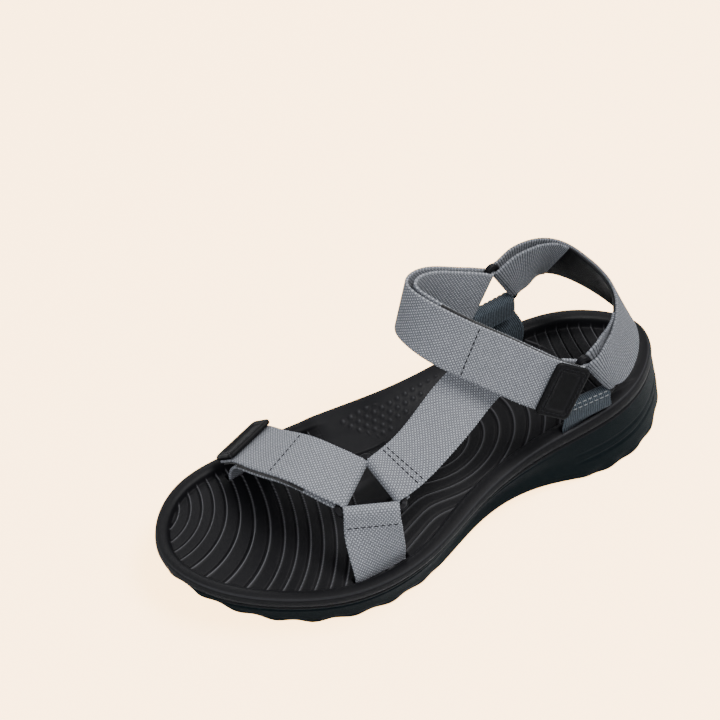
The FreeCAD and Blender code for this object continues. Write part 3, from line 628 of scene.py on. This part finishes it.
edge_z = np.full(SAMPLES, 28.0)
for _ in range(4):
    plan = wall_point(edge_z)
    edge_z = rim_height(plan[:, 0], plan[:, 1])
edge_plan = wall_point(edge_z)
foot_z = np.zeros(SAMPLES)
for _ in range(4):
    plan = wall_point(foot_z)
    foot_z = tread_height(plan[:, 0])
foot_plan = wall_point(foot_z)

SPINE_X = np.array([-88.0, -40.0, 0.0, 60.0, 88.0])
SPINE_Y = np.array([0.5, 1.0, 3.0, 3.5, -3.0])
spine_x = np.clip(edge_plan[:, 0], -88.0, 88.0)
spine = np.stack([spine_x, np.interp(spine_x, SPINE_X, SPINE_Y)], 1)


def forefoot_lines(x, y):
    """Phase of the curved forefoot grooves: arcs by the big toe, wider apart outwards."""
    dx, dy = x - 128.0, y + 40.0
    r = np.hypot(dx, dy)
    angle = np.degrees(np.arctan2(dy, dx))
    angle = np.where(angle < -60, angle + 360, angle)
    spread = smooth(175.0 - angle, 0.0, 68.0)
    rho = r.copy()
    for _ in range(40):
        rho = 0.5 * (rho + r / (1 + spread * np.clip((rho - 37.0) / 22.0, 0, 1) * 0.2))
    return (rho - 18.7) / 5.3, rho


def midfoot_lines(x, y):
    """Phase of the contour-like midfoot grooves round a low hill."""
    q = np.hypot((x + 5.0) / 1.45, y - 2.0)
    q = q - 0.70 * np.log1p(np.exp((x - 14.0) / 3.0)) * 3.0
    return (q - 1.0) / 5.4


def heel_lines(x, y):
    """Phase of the grooves across the heel cup."""
    t = y + 25.0
    return (x - 0.42 * t + 0.0055 * t * t + 90.0) / 6.2


def engraved(phase, pitch, depth, width):
    """A fine cut with a thin raised lip beside it: the height, and the painted highlight along
    the lip.
    """
    f = phase - np.floor(phase)
    distance = np.minimum(f, 1 - f) * pitch
    cut = bell(distance, width) * depth
    lip = bell(f * pitch - width * 2.1, width * 0.9)
    lip_highlight = bell(f * pitch - width * 2.0, width * 0.55)
    return np.array([lip * depth * 0.5 - cut, lip_highlight])


def footbed_relief(x, y, inset):
    """Relief of the foot field, given the distance in from the rim, with painted highlights on
    groove lips and dot tops.
    """
    field = smooth(inset, 9.0, 10.6)
    phase, rho = forefoot_lines(x, y)
    fore = smooth(rho, 97.0, 93.0) * smooth(x, 34.0, 40.0) * smooth(rho, 4.0, 7.0)
    heel = smooth(-x, 78.0, 84.0)
    arch_edge = -10.0 - 0.0038 * (x - 2.0) ** 2
    arch = smooth(arch_edge - y, 0.0, 1.6) * smooth(x, -62.0, -50.0) * smooth(-x, -42.0, -34.0)
    mid = (1 - fore) * (1 - heel) * (1 - arch)
    both = fore * engraved(phase, 6.5, 0.95, 0.40)
    both += heel * 0.75 * engraved(heel_lines(x, y), 6.2, 0.95, 0.40)
    both += mid * 0.6 * engraved(midfoot_lines(x, y), 5.4, 1.0, 0.40)
    z, highlight = both * field
    z += arch * 0.7
    rows = (y + 31.0) / 3.75
    row = np.round(rows)
    column = (x - 2.0 + (row % 2) * 2.15) / 4.3
    dot = np.hypot((column - np.round(column)) * 4.3, (rows - row) * 3.75)
    climb = np.where(x > 12.0, (26.0 - x) / 14.0, (x + 38.0) / 50.0)
    reach = -31.0 + 17.5 * np.clip(climb, 0, 1)
    size = 0.7 + 0.4 * smooth(x, -30.0, 20.0)
    inside = (row >= 0) & (row * 3.75 - 31.0 <= reach) & (climb > 0.02) & (inset > 8.0)
    bump = np.where(inside, bell(dot, size), 0.0)
    z += 0.8 * bump
    # painted highlight on the dot tops
    highlight += 0.35 * bump ** 3
    for y0, x0, x1 in ((29.6, -92.0, -81.0), (27.0, -103.0, -88.0)):
        bend = y0 + 0.012 * (x - x0) ** 2 * 0.1
        span = smooth(x, x0 - 1.5, x0 + 1.5) * smooth(-x, -x1 - 1.5, -x1 + 1.5)
        z -= 0.5 * bell(y - bend, 0.5) * span
    return z, highlight


SLOTS = [((70.5, -36.6), (1, 0.12)), ((50.8, 44.2), (1, -0.02)),
         ((-69.7, 31.6), (1, 0.05)), ((-63.0, -25.6), (1, -0.03))]


def slot_dips(x, y):
    """Narrow openings in the footbed where the webbing goes in."""
    z = np.zeros(x.shape)
    for centre, along in SLOTS:
        u = unit(along)
        a = (x - centre[0]) * u[0] + (y - centre[1]) * u[1]
        b = -(x - centre[0]) * u[1] + (y - centre[1]) * u[0]
        z -= 3.0 * smooth(13.9 - np.abs(a), 0.0, 0.9) * smooth(1.8 - np.abs(b), 0.0, 0.8)
    return z


# rows of the top, from the rim edge to the spine
rim_steps = np.array([0.5, 0.9, 1.3, 1.7, 2.3, 3.2, 4.4, 5.6, 6.8, 7.8, 8.5, 8.9, 9.2, 9.5,
                      9.8, 10.2, 10.6, 11.0, 11.5])
INNER_ROWS = 100
reach = np.linalg.norm(edge_plan - spine, axis=1)
direction = (spine - edge_plan) / reach[:, None]
lean = np.abs(np.sum(direction * outward, axis=1)).clip(0.55, 1)
narrow = 1.28 + 0.27 * smooth(edge_plan[:, 0], 0.0, 40.0)       # slimmer rim at the forefoot
GRID = 0.5
# strength of the painted highlight along the rim's outer edge
EDGE_HIGHLIGHT = 0.42
shared_x = np.round(spine_x / GRID) * GRID      # both halves meet in the same points
shared_spine = np.stack([shared_x, np.interp(shared_x, SPINE_X, SPINE_Y)], 1)
top_rows = []


def top_row(distance_along, last=False):
    """One row of the top: distance in along each section."""
    plan = shared_spine if last else edge_plan + direction * distance_along[:, None]
    x, y = plan[:, 0], plan[:, 1]
    inset = distance_along * lean * narrow
    z = rim_height(x, y)
    drop = field_depth(x)
    arch = smooth(-y, 4.0, 14.0) * smooth(x, -62.0, -46.0) * smooth(-x, -44.0, -30.0)
    step = smooth(inset, 8.2, 10.4) * 0.97
    z = z - drop * (step * (1 - arch) + smooth(inset, 1.0, 24.0) * arch)
    swell = np.sin(np.pi * np.clip(inset / 8.5, 0, 1))
    z = z + (1 - arch) * (0.35 * swell - 0.35 * smooth(inset, 6.0, 8.6))
    relief, highlight = footbed_relief(x, y, inset)
    z = z + relief + slot_dips(x, y)
    # painted highlight along the rim's outer edge, and slightly lighter over the arch
    highlight = highlight + EDGE_HIGHLIGHT * bell(distance_along * lean - 0.4, 0.4) + 0.05 * arch
    return np.stack([x, y, z, highlight], 1)


for amount in rim_steps:
    slimmer = 1 + (1 / narrow - 1) * min((amount - 1.3) / 3.0, 1)
    top_rows.append(top_row(amount / lean * slimmer))
first_inner = rim_steps[-1] / lean / narrow
for f in np.linspace(0, 1, INNER_ROWS + 1)[1:]:
    top_rows.append(top_row(first_inner + (reach - first_inner) * f, f == 1))
top_rows = np.array(top_rows)

# rows of the side, from the rim edge down to the tread
girth = marks_of(foot_plan)
fore_mask = smooth(foot_plan[:, 0], 18.0, 34.0)
heel_mask = smooth(-foot_plan[:, 0], 60.0, 76.0)
lug_phase = 2 * np.pi * (girth / 17.0 + 0.10 * np.sin(girth / 31.0))
height_total = edge_z - foot_z


def side_row(drop):
    """One row of the side wall: drop is the distance below the rim edge, per sample."""
    z = edge_z - drop
    plan = wall_point(z)
    share = drop / height_total
    above = z - foot_z
    out = np.zeros(SAMPLES)
    rounding = 1.3
    from_edge = (rounding - np.clip(drop, 0, rounding)) / rounding
    out -= rounding * (1 - np.sqrt(np.clip(1 - from_edge ** 2, 0, 1)))
    out += 0.55 * bell(drop - 3.4, 2.0)
    out -= 0.75 * bell(drop - 6.6, 0.55)
    out -= 0.55 * bell(drop - 9.4, 0.5) * smooth(plan[:, 0], -60.0, -20.0)
    waist = bell(plan[:, 0] + 12.0, 42.0)
    out -= 1.6 * waist * bell(share - 0.62, 0.2)
    crease = 13.5 - 0.05 * (plan[:, 0] + 95.0)
    out += heel_mask * (0.9 * smooth(crease - z, -0.4, 0.5) - 0.7 * bell(z - crease, 0.55))
    out -= heel_mask * 0.6 * bell(z - crease - 5.2, 0.5) * smooth(plan[:, 1], 0.0, 12.0)
    out -= heel_mask * 0.9 * smooth(crease - z, -0.4, 0.5)
    low = smooth(6.5 - above, 0.0, 5.5)
    lugs = 0.5 + 0.5 * np.sin(lug_phase)
    out -= (fore_mask * 1.2 + heel_mask * 0.8) * low * (1 - lugs)
    out -= 0.9 * smooth(1.6 - above, 0.0, 1.6)
    # painted highlight along the rim's rounded top edge
    highlight = EDGE_HIGHLIGHT * bell(drop, 0.4)
    x, y = (plan + outward * out[:, None]).T
    return np.stack([x, y, z, highlight], 1)


UPPER_ROWS = 26
LOWER_ROWS = 30
split = np.minimum(8.0, height_total * 0.5)
tread_split = height_total - 4.2


def side_rows(first, last, count):
    return [side_row(first + (last - first) * f) for f in np.linspace(0, 1, count)]


upper = side_rows(0.0, split, UPPER_ROWS)
lower = side_rows(split, tread_split, LOWER_ROWS)
bottom_side = side_rows(tread_split, height_total, 10)


def tread_relief(x, y, inset):
    """Lugs of the tread: curved bars cut across by narrow channels."""
    bars = np.sin(2 * np.pi * (x + 0.012 * y * y) / 13.0)
    cut = smooth(np.abs(bars), 0.34, 0.12)
    ball = smooth(x, 24.0, 34.0) + smooth(-x, 58.0, 70.0)
    spine_cut = bell(y - 2.0, 1.3)
    return np.maximum(cut * ball, spine_cut * ball * 0.8) * 2.2 * smooth(inset, 3.0, 5.5)


def bottom_row(f):
    edge = bottom_side[-1][:, :2]
    plan = shared_spine if f == 1 else edge + (spine - edge) * f
    inset = np.linalg.norm(plan - edge, axis=1)
    z = tread_height(plan[:, 0]) + tread_relief(plan[:, 0], plan[:, 1], inset)
    return np.stack([plan[:, 0], plan[:, 1], z, z * 0], 1)


bottom = [bottom_row(f) for f in np.linspace(0, 1, 70)[1:]]


def shell(name, rows, material, node):
    """One layer of the sole; each row holds x, y, z and the painted highlight round the outline.
    """
    points = np.array(rows).reshape(-1, 4)
    obj = add_mesh(name, place(points[:, :3]), grid_faces(len(rows), SAMPLES), None, material)
    add_highlight(obj, points[:, 3])
    welded(obj)
    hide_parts(node)
    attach(obj, "sandal")


shell("sole_footbed", list(top_rows[::-1]) + upper, footbed_foam, "footbed")
shell("sole_midsole", lower, midsole_foam, "midsole")
shell("sole_outsole", bottom_side + bottom, outsole_rubber, "outsole")


# --- rings
BAR_CENTRE_RADIUS = 27.4 / (2 * math.sqrt(3)) + 1.4


class Ring:
    """Place of a triangular ring."""

    def __init__(self, centre, normal, first_corner):
        self.centre = np.array(centre, float)
        self.normal = unit(normal)
        corner = np.array(first_corner, float) - self.centre
        self.up = unit(corner - self.normal * np.dot(corner, self.normal))
        self.side = np.cross(self.up, self.normal)

    def corner_direction(self, number):
        angle = math.radians(90 + 120 * number)
        return self.side * math.cos(angle) + self.up * math.sin(angle)

    def bar(self, opposite):
        out = -self.corner_direction(opposite)
        return self.centre + out * BAR_CENTRE_RADIUS, out

    def across(self, first, second):
        """Along the bar between two corners, from the second to the first."""
        return self.corner_direction(first) - self.corner_direction(second)

    def bar_direction(self, opposite):
        return unit(np.cross(self.normal, self.corner_direction(opposite)))


toe_ring = Ring((44.3, 24.6, 49.8), (0.16, 0.20, 0.97), (36.5, 9.0, 53.5))
lateral_ring = Ring((-68.1, 29.7, 57.4), (0.12, 0.98, 0.12), (-66.8, 28.1, 75.1))
medial_ring = Ring((-55.3, -27.4, 75.4), (0.05, -0.99, -0.04), (-54.7, -27.8, 93.2))

for node_name in ("toe_ring", "lateral_ring", "medial_ring"):
    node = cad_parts[node_name]
    node.data.materials.clear()
    node.data.materials.append(ring_plastic)

# --- toe strap
TAIL = 2.0
BASE = -2.0
MERGE = 15.0


def tail_offset(mark):
    return FOLD_RADIUS + (TAIL - FOLD_RADIUS) * float(smooth(mark, 0.0, MERGE))


def base_offset(mark):
    return -FOLD_RADIUS + (BASE + FOLD_RADIUS) * float(smooth(mark, 0.0, MERGE))


def with_widths(sections, first_width, length):
    """Grows the width from a gathered end to the full width over a length."""
    travelled = marks_of([s.centre for s in sections])
    for s, m in zip(sections, travelled):
        s.width = first_width + (WEBBING - first_width) * float(smooth(m, 0.0, length))
    return sections


def ridden(obj, body, nodes=()):
    if nodes:
        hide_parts(*nodes)
    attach(obj, body)


toe_bar_mid, toe_bar_out = toe_ring.bar(2)
toe_across = toe_ring.across(1, 0)
toe_surface = Ribbon([
    (toe_bar_mid, toe_across),
    ((60.8, -3.5, 51.4), (0.84, 0.53, -0.10)),
    ((68.0, -24.5, 42.0), (0.90, 0.42, -0.05)),
    ((70.3, -34.5, 36.6), (0.92, 0.38, -0.03)),
    ((71.6, -42.0, 29.0), (0.93, 0.36, -0.02)),
], toe_bar_out)
toe_slot = np.array([70.5, -36.6, 0.0])
toe_base_run = toe_surface.sections(4.0, toe_surface.length - 14.0, base_offset, 14)
toe_base_run = with_widths(toe_base_run, LOOP_WIDTH + 1.0, 8.0)
toe_base = root_fold(toe_surface) + toe_base_run
toe_base.append(Section(toe_slot + np.array([-0.2, 1.2, 27.5]), (0.02, -0.30, -1), (1, 0.12, 0)))
toe_base.append(Section(toe_slot + np.array([0, 0, 20.0]), (0, 0, -1), (1, 0.12, 0)))
toe_base_band = Band(toe_base)
ridden(toe_base_band.mesh("toe_strap_lower", webbing), "sandal", ("toe_strap_base",))
toe_tail_sections = toe_surface.sections(-0.01, toe_surface.length, tail_offset, 20)
toe_tail_sections = with_widths(toe_tail_sections, LOOP_WIDTH, 9.0)
toe_tail_band = Band(toe_tail_sections, outer=(0, 0, 1))
toe_tail_obj = toe_tail_band.mesh("toe_strap_upper", webbing)
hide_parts("toe_strap_tail")
bend_start = place(toe_surface.section(0.5).centre)
bend_end = place(toe_surface.section(9.0).centre)
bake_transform(toe_tail_obj)


def tape(name, ribbon, first, last, offset, material, body, node, steps=12):
    band = Band(ribbon.sections(first, last, offset, steps), step=0.9, thickness=0.9)
    band.width = band.width * (25.7 / WEBBING)
    obj = band.mesh(name, material, edge_wave=0.25, edge_pitch=0.9)
    ridden(obj, body, (node,))


tape("toe_tape_soft", toe_surface, 16.0, toe_surface.length - 14.0, -0.62, loop_tape,
     "sandal", "toe_loop_tape")
tape("toe_tape_hooks", toe_surface, 22.0, toe_surface.length - 2.0, 0.62, hook_tape,
     "toe_tail", "toe_hook_tape")


# --- pull tabs
def rounded_loop(half_x, half_y, radius, count=96):
    """Points of a rounded rectangle at evenly spaced turns."""
    points = []
    per = count // 4
    for cx, cy, start in ((1, 1, 0), (-1, 1, 90), (-1, -1, 180), (1, -1, 270)):
        for k in range(per):
            a = math.radians(start + 90.0 * k / (per - 1))
            points.append((cx * (half_x - radius) + radius * math.cos(a),
                           cy * (half_y - radius) + radius * math.sin(a)))
    return np.array(points)


def pull_tab(name, root, body, node):
    """Moulded pull tab: raised rim, stitched groove and recessed panel."""
    half_x, half_y = 13.4, 8.5
    profile = [(0.9, 0.0), (0.25, 0.25), (0.0, 0.8), (0.0, 1.6), (0.25, 2.15), (0.8, 2.45),
               (1.3, 2.5), (1.7, 2.42), (1.95, 2.22), (2.3, 2.18), (2.65, 2.38), (3.0, 2.42),
               (3.3, 2.2), (3.6, 1.70), (4.1, 1.50), (5.0, 1.46), (6.0, 1.46), (7.0, 1.46)]
    rows = []
    for inset, height in profile:
        loop = rounded_loop(half_x - inset, half_y - inset, 2.6 - min(inset, 2.2) * 0.55)
        rows.append(np.concatenate([loop, np.full((len(loop), 1), height)], 1))
    rows = np.array(rows)
    local = rows.reshape(-1, 3)
    points = (root.centre + root.across * local[:, :1] - root.along * local[:, 1:2]
              + root.normal * local[:, 2:3])
    count = rows.shape[1]
    faces = list(grid_faces(len(rows), count)[:, ::-1])
    faces.append(np.arange(count))
    faces.append(((len(rows) - 1) * count + np.arange(count))[::-1])
    obj = add_mesh(name, place(points), faces, None, tab_rubber)
    ridden(obj, body, (node,))
    loop = looped(rounded_loop(half_x - 2.1, half_y - 2.1, 1.2, 400))
    marks = marks_of(loop)
    count = int(marks[-1] / 2.7)

    def groove(share):
        x, y = (np.interp(share * marks[-1], marks, loop[:, k]) for k in range(2))
        return root.centre + root.across * x - root.along * y + root.normal * 2.25

    starts = [groove((k + 0.16) / count) for k in range(count)]
    ends = [groove((k + 0.84) / count) for k in range(count)]
    ups = [root.normal] * count
    stitches = capsule_mesh(name + "_stitches", starts, ends, ups, 0.3, thread_dark)
    ridden(stitches, body)


TAB_OFFSET = TAIL + 0.75 + 0.35
toe_tab_root = toe_surface.section(toe_surface.length - 8.5 + 1.5, TAB_OFFSET)
pull_tab("toe_tab", toe_tab_root, "toe_tail", "toe_pull_tab")


# --- anchors
def anchor(name, ring, outer, slot, bottom, rise, inner_leg, material, node, stitched):
    """Webbing stub: up from its slot, over a ring bar from the outside, and down inside."""
    bar_mid = ring.bar(0)[0]
    slot_centre = np.array([*slot[0], 0.0])
    slot_across = np.array([*slot[1], 0.0])
    bar_along = facing(ring.bar_direction(0), slot_across)
    mouth = slot_centre + np.array([0, 0, rise])
    travel = bar_mid - mouth
    travel = unit(travel - bar_along * np.dot(travel, bar_along))
    radial = facing(np.cross(travel, bar_along), outer)
    if np.dot(np.cross(travel, bar_along), radial) < 0:
        bar_along = -bar_along
        slot_across = -slot_across
    round_bar = fold(bar_mid, bar_along, radial, travel)
    neck = round_bar[0]
    sections = [
        Section(slot_centre + np.array([0, 0, bottom]), (0, 0, 1), slot_across),
        Section(mouth, (0, 0, 1), slot_across),
        Section(neck.centre - travel * 7.0, travel, neck.across, WEBBING),
        Section(neck.centre - travel * 2.5, travel, neck.across, LOOP_WIDTH),
    ]
    end = round_bar[-1]
    tip = Section(end.centre + end.along * inner_leg, end.along, end.across, 25.0)
    band = Band(sections + round_bar + [tip], outer=outer)
    ridden(band.mesh(name, material), "sandal", (node,))
    for number, (drop, thread) in enumerate(stitched):
        mark = band.mark_near(neck.centre) - drop
        seam("%s_seam_%d" % (name, number), band, mark, mark, STITCHED, thread, "sandal")


anchor("toe_anchor_strap", toe_ring, (0, 1, 0), SLOTS[1], 14.0, 22.0, 7.0,
       webbing, "toe_lateral_anchor", [(5.5, thread_dark)])
anchor("lateral_anchor_strap", lateral_ring, (0, 1, 0), SLOTS[2], 26.0, 36.5, 6.0,
       webbing_rear, "lateral_anchor", [(-1.9, thread_light), (-0.4, thread_light)])
anchor("medial_anchor_strap", medial_ring, (0, -1, 0), SLOTS[3], 32.0, 43.0, 9.0,
       webbing_rear, "medial_anchor", [(-1.9, thread_light), (-0.4, thread_light)])

# --- ankle strap
ankle_bar_mid, ankle_bar_out = medial_ring.bar(1)
ankle_across = medial_ring.across(0, 2)
ankle_surface = Ribbon([
    (ankle_bar_mid, ankle_across),
    ((-30.0, -29.5, 87.0), (-0.45, -0.06, 0.89)),
    ((-13.0, -29.5, 94.0), (-0.35, -0.08, 0.93)),
    ((-4.5, -23.0, 96.5), (-0.28, -0.14, 0.95)),
    ((-6.0, -11.5, 94.8), (-0.32, -0.18, 0.93)),
    ((-15.0, 0.5, 88.5), (-0.42, -0.20, 0.89)),
    ((-30.0, 15.0, 80.0), (-0.50, -0.20, 0.84)),
    ((-45.5, 27.5, 70.5), (-0.52, -0.12, 0.84)),
    ((-58.0, 33.5, 64.0), (-0.50, -0.05, 0.86)),
], ankle_bar_out)
ANKLE_END = ankle_surface.length
lateral_bar_mid, lateral_bar_out = lateral_ring.bar(2)
lateral_across = lateral_ring.across(0, 1)
lateral_fold = fold(lateral_bar_mid, lateral_across, lateral_ring.normal, -lateral_bar_out)
ankle_base_run = ankle_surface.sections(4.0, ANKLE_END - 22.0, base_offset, 48)
ankle_base_run = with_widths(ankle_base_run, LOOP_WIDTH + 1.0, 8.0)
last = lateral_fold[-1]
ankle_base = root_fold(ankle_surface) + ankle_base_run + lateral_fold
ankle_base.append(Section(last.centre + last.along * 9.0, last.along, last.across, 24.5))
ankle_base_band = Band(ankle_base)
ankle_base_obj = ankle_base_band.mesh("ankle_strap_lower", webbing)
ridden(ankle_base_obj, "sandal", ("ankle_strap_base",))
ankle_tail_sections = ankle_surface.sections(-0.01, ANKLE_END, tail_offset, 64)
ankle_tail_sections = with_widths(ankle_tail_sections, LOOP_WIDTH, 9.0)
ankle_tail_band = Band(ankle_tail_sections, outer=ankle_surface.section(80.0).normal)
ankle_tail_obj = ankle_tail_band.mesh("ankle_strap_upper", webbing)
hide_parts("ankle_strap_return", "ankle_strap_tail")
bend_start = place((-3.0, -19.0, 96.5))
bend_end = place((-3.0, -10.0, 96.5))
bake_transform(ankle_tail_obj)
tape("ankle_tape_soft", ankle_surface, 62.0, ANKLE_END - 23.0, -0.62, loop_tape,
     "sandal", "ankle_loop_tape", 20)
tape("ankle_tape_hooks", ankle_surface, 78.0, ANKLE_END - 3.0, 0.62, hook_tape,
     "ankle_tail", "ankle_hook_tape", 20)
ankle_tab_root = ankle_surface.section(ANKLE_END - 8.5 + 1.0, TAB_OFFSET)
pull_tab("ankle_tab", ankle_tab_root, "ankle_tail", "ankle_pull_tab")
seam("ankle_seam", ankle_tail_band, 90.0, 88.0, 11.8, thread_dark, "ankle_tail")
seam("toe_seam", toe_tail_band, 34.0, 34.0, 11.8, thread_dark, "toe_tail")

# --- instep strap
SKEW = math.radians(23.0)
INSTEP_OFFSET = -4.9


def instep_under_ankle(reach_in):
    """The instep strap's middle, a distance in from the ankle strap's lower edge."""
    mark = 94.0 + reach_in * math.sin(SKEW)
    host = ankle_surface.section(mark, INSTEP_OFFSET)
    height = reach_in * math.cos(SKEW) - HALF
    along = host.across * math.cos(SKEW) + host.along * math.sin(SKEW)
    across = host.along * -math.cos(SKEW) + host.across * math.sin(SKEW)
    return Section(host.centre + host.across * height, along, across)


instep_bar_mid, instep_bar_out = toe_ring.bar(1)
instep_across = toe_ring.across(0, 2)
instep_entry = instep_under_ankle(0.0)
instep_end = instep_under_ankle(18.0)
instep_surface = Ribbon([
    (instep_bar_mid + toe_ring.normal * FOLD_RADIUS, instep_across),
    ((2.5, 16.6, 60.5), (0.38, -0.90, 0.16)),
    (instep_entry.centre, instep_entry.across),
    (instep_end.centre, instep_end.across),
], instep_bar_out, instep_end.along)
instep_fold = fold(instep_bar_mid, instep_across, toe_ring.normal, -instep_bar_out)
tail_leg = instep_fold[-1]
tail_leg = Section(tail_leg.centre + tail_leg.along * 4.0, tail_leg.along, tail_leg.across, 23.0)
instep_sections = turned(instep_fold + [tail_leg])
instep_run = instep_surface.sections(2.0, instep_surface.length, 0.0, 30)
instep_sections += with_widths(instep_run, LOOP_WIDTH + 0.5, 7.0)
instep_band = Band(instep_sections, outer=(0, 0, 1))
ridden(instep_band.mesh("instep_webbing", webbing), "sandal", ("instep_strap",))
instep_bar_mark = instep_band.mark_near(instep_surface.section(0.0).centre)
for number, gap in enumerate((7.5, 10.0)):
    mark = instep_bar_mark + gap
    seam("instep_seam_%d" % number, instep_band, mark, mark, STITCHED, thread_dark, "sandal")

# --- heel strap
heel_lateral_mid, heel_lateral_out = lateral_ring.bar(1)
heel_lateral_across = lateral_ring.across(0, 2)
heel_medial_mid, heel_medial_out = medial_ring.bar(2)
heel_medial_across = medial_ring.across(0, 1)
heel_surface = Ribbon([
    (heel_lateral_mid + lateral_ring.normal * FOLD_RADIUS, heel_lateral_across),
    ((-89.0, 28.5, 67.0), (0.57, -0.18, 0.80)),
    ((-102.6, 13.0, 73.5), (0.50, -0.08, 0.86)),
    ((-105.8, -5.0, 73.5), (0.35, 0.10, 0.93)),
    ((-98.7, -21.5, 77.5), (0.27, 0.15, 0.95)),
    ((-84.0, -29.3, 83.5), (0.40, 0.03, 0.92)),
    (heel_medial_mid + medial_ring.normal * FOLD_RADIUS, heel_medial_across),
], heel_lateral_out, -heel_medial_out)
HEEL = heel_surface.length


def heel_end(ring, opposite, across, marks):
    """Fold round a ring bar and the returned inner end, from the outer face inwards."""
    mid, out = ring.bar(opposite)
    sections = fold(mid, across, ring.normal, -out)
    turn = sections[-1]
    for mark in marks:
        far = float(smooth(min(mark, HEEL - mark), 10.0, 31.0))
        leg = heel_surface.section(mark, -2 * FOLD_RADIUS + (2 * FOLD_RADIUS - 1.65) * far)
        along = facing(leg.along, turn.along)
        sections.append(Section(leg.centre, along, facing(leg.across, turn.across), 25.0))
    return sections


LEGS = [7.0, 11.0, 16.0, 22.0, 29.8]
lateral_end = heel_end(lateral_ring, 1, heel_lateral_across, LEGS)
medial_end = heel_end(medial_ring, 2, heel_medial_across, [HEEL - m for m in LEGS])
run = heel_surface.sections(2.0, HEEL - 2.0, 0.0, 60)
for s, m in zip(run, np.linspace(2.0, HEEL - 2.0, 61)):
    s.width = WEBBING - 3.0 * (1 - float(smooth(min(m, HEEL - m), 2.0, 9.0)))
heel_sections = turned(lateral_end)
if np.dot(heel_sections[-1].across, run[0].across) < 0:
    heel_sections = [Section(s.centre, s.along, -s.across, s.width) for s in heel_sections]
heel_band = Band(heel_sections + run + medial_end)
heel_obj = heel_band.mesh("heel_webbing", webbing_ribbed)
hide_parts("heel_strap", "heel_loop_lateral", "heel_loop_medial")
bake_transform(heel_obj)

lining_sections = heel_surface.sections(30.0, HEEL - 30.0, -(0.75 + 0.6 + 0.12), 30)
lining_band = Band(lining_sections, step=0.7, thickness=1.2)
lining_band.width = lining_band.width * (24.6 / WEBBING)
lining_obj = lining_band.mesh("heel_lining_skin", lining, edge_wave=0.0)
ridden(lining_obj, "heel_band", ("heel_lining",))

# --- stage, camera, light
stage_material = Nodes("stage_floor")
tone = stage_material.noise(3.0, 2.0)
floor_colour = stage_material.mix(tone, (0.38, 0.385, 0.39), (0.39, 0.395, 0.40))
stage_material.finish(floor_colour, 0.95, Specular_IOR_Level=0.0,
                      Emission_Color=(1.0, 0.62, 0.27, 1), Emission_Strength=7.0)
floor_corners = [(-3, -3, 0), (3, -3, 0), (3, 3, 0), (-3, 3, 0)]
floor = add_mesh("floor", floor_corners, [(0, 1, 2, 3)], None, stage_material.material)
glow = bpy.data.collections.new("floor_glow")       # the floor's own glow lights only the floor
glow.objects.link(floor)
floor.light_linking.receiver_collection = glow

camera = bpy.data.cameras.new("camera")
camera.lens = 72.57
camera.sensor_width = 36.0
camera_obj = bpy.data.objects.new("camera", camera)
bpy.context.scene.collection.objects.link(camera_obj)
eye = Vector((0.2593, 0.3517, 0.5442))
back = Vector((0.3654, 0.5848, 0.7242)).normalized()
camera_obj.location = eye
camera_obj.rotation_mode = "QUATERNION"
camera_obj.rotation_quaternion = (-back).to_track_quat("-Z", "Y")
bpy.context.scene.camera = camera_obj


def area_light(name, location, target, size, power, colour=(1, 1, 1)):
    light = bpy.data.lights.new(name, "AREA")
    light.shape = "RECTANGLE"
    light.size = size
    light.size_y = size * 0.7
    light.energy = power
    light.color = colour
    obj = bpy.data.objects.new(name, light)
    obj.location = location
    obj.rotation_mode = "QUATERNION"
    obj.rotation_quaternion = (Vector(target) - Vector(location)).to_track_quat("-Z", "Y")
    bpy.context.scene.collection.objects.link(obj)


area_light("key", (-0.45, 0.25, 1.25), (0, 0, 0.03), 0.7, 18.5, (1.0, 0.99, 0.97))
area_light("fill", (1.0, 0.5, 1.0), (0, 0, 0.03), 0.9, 8.5, (0.97, 0.98, 1.0))
area_light("rim", (-0.5, -1.1, 0.8), (0, 0, 0.05), 0.7, 7.0)
world = bpy.data.worlds.new("world")
world.use_nodes = True
world.node_tree.nodes["Background"].inputs["Color"].default_value = (0.96, 0.98, 1.0, 1)
world.node_tree.nodes["Background"].inputs["Strength"].default_value = 0.45
bpy.context.scene.world = world
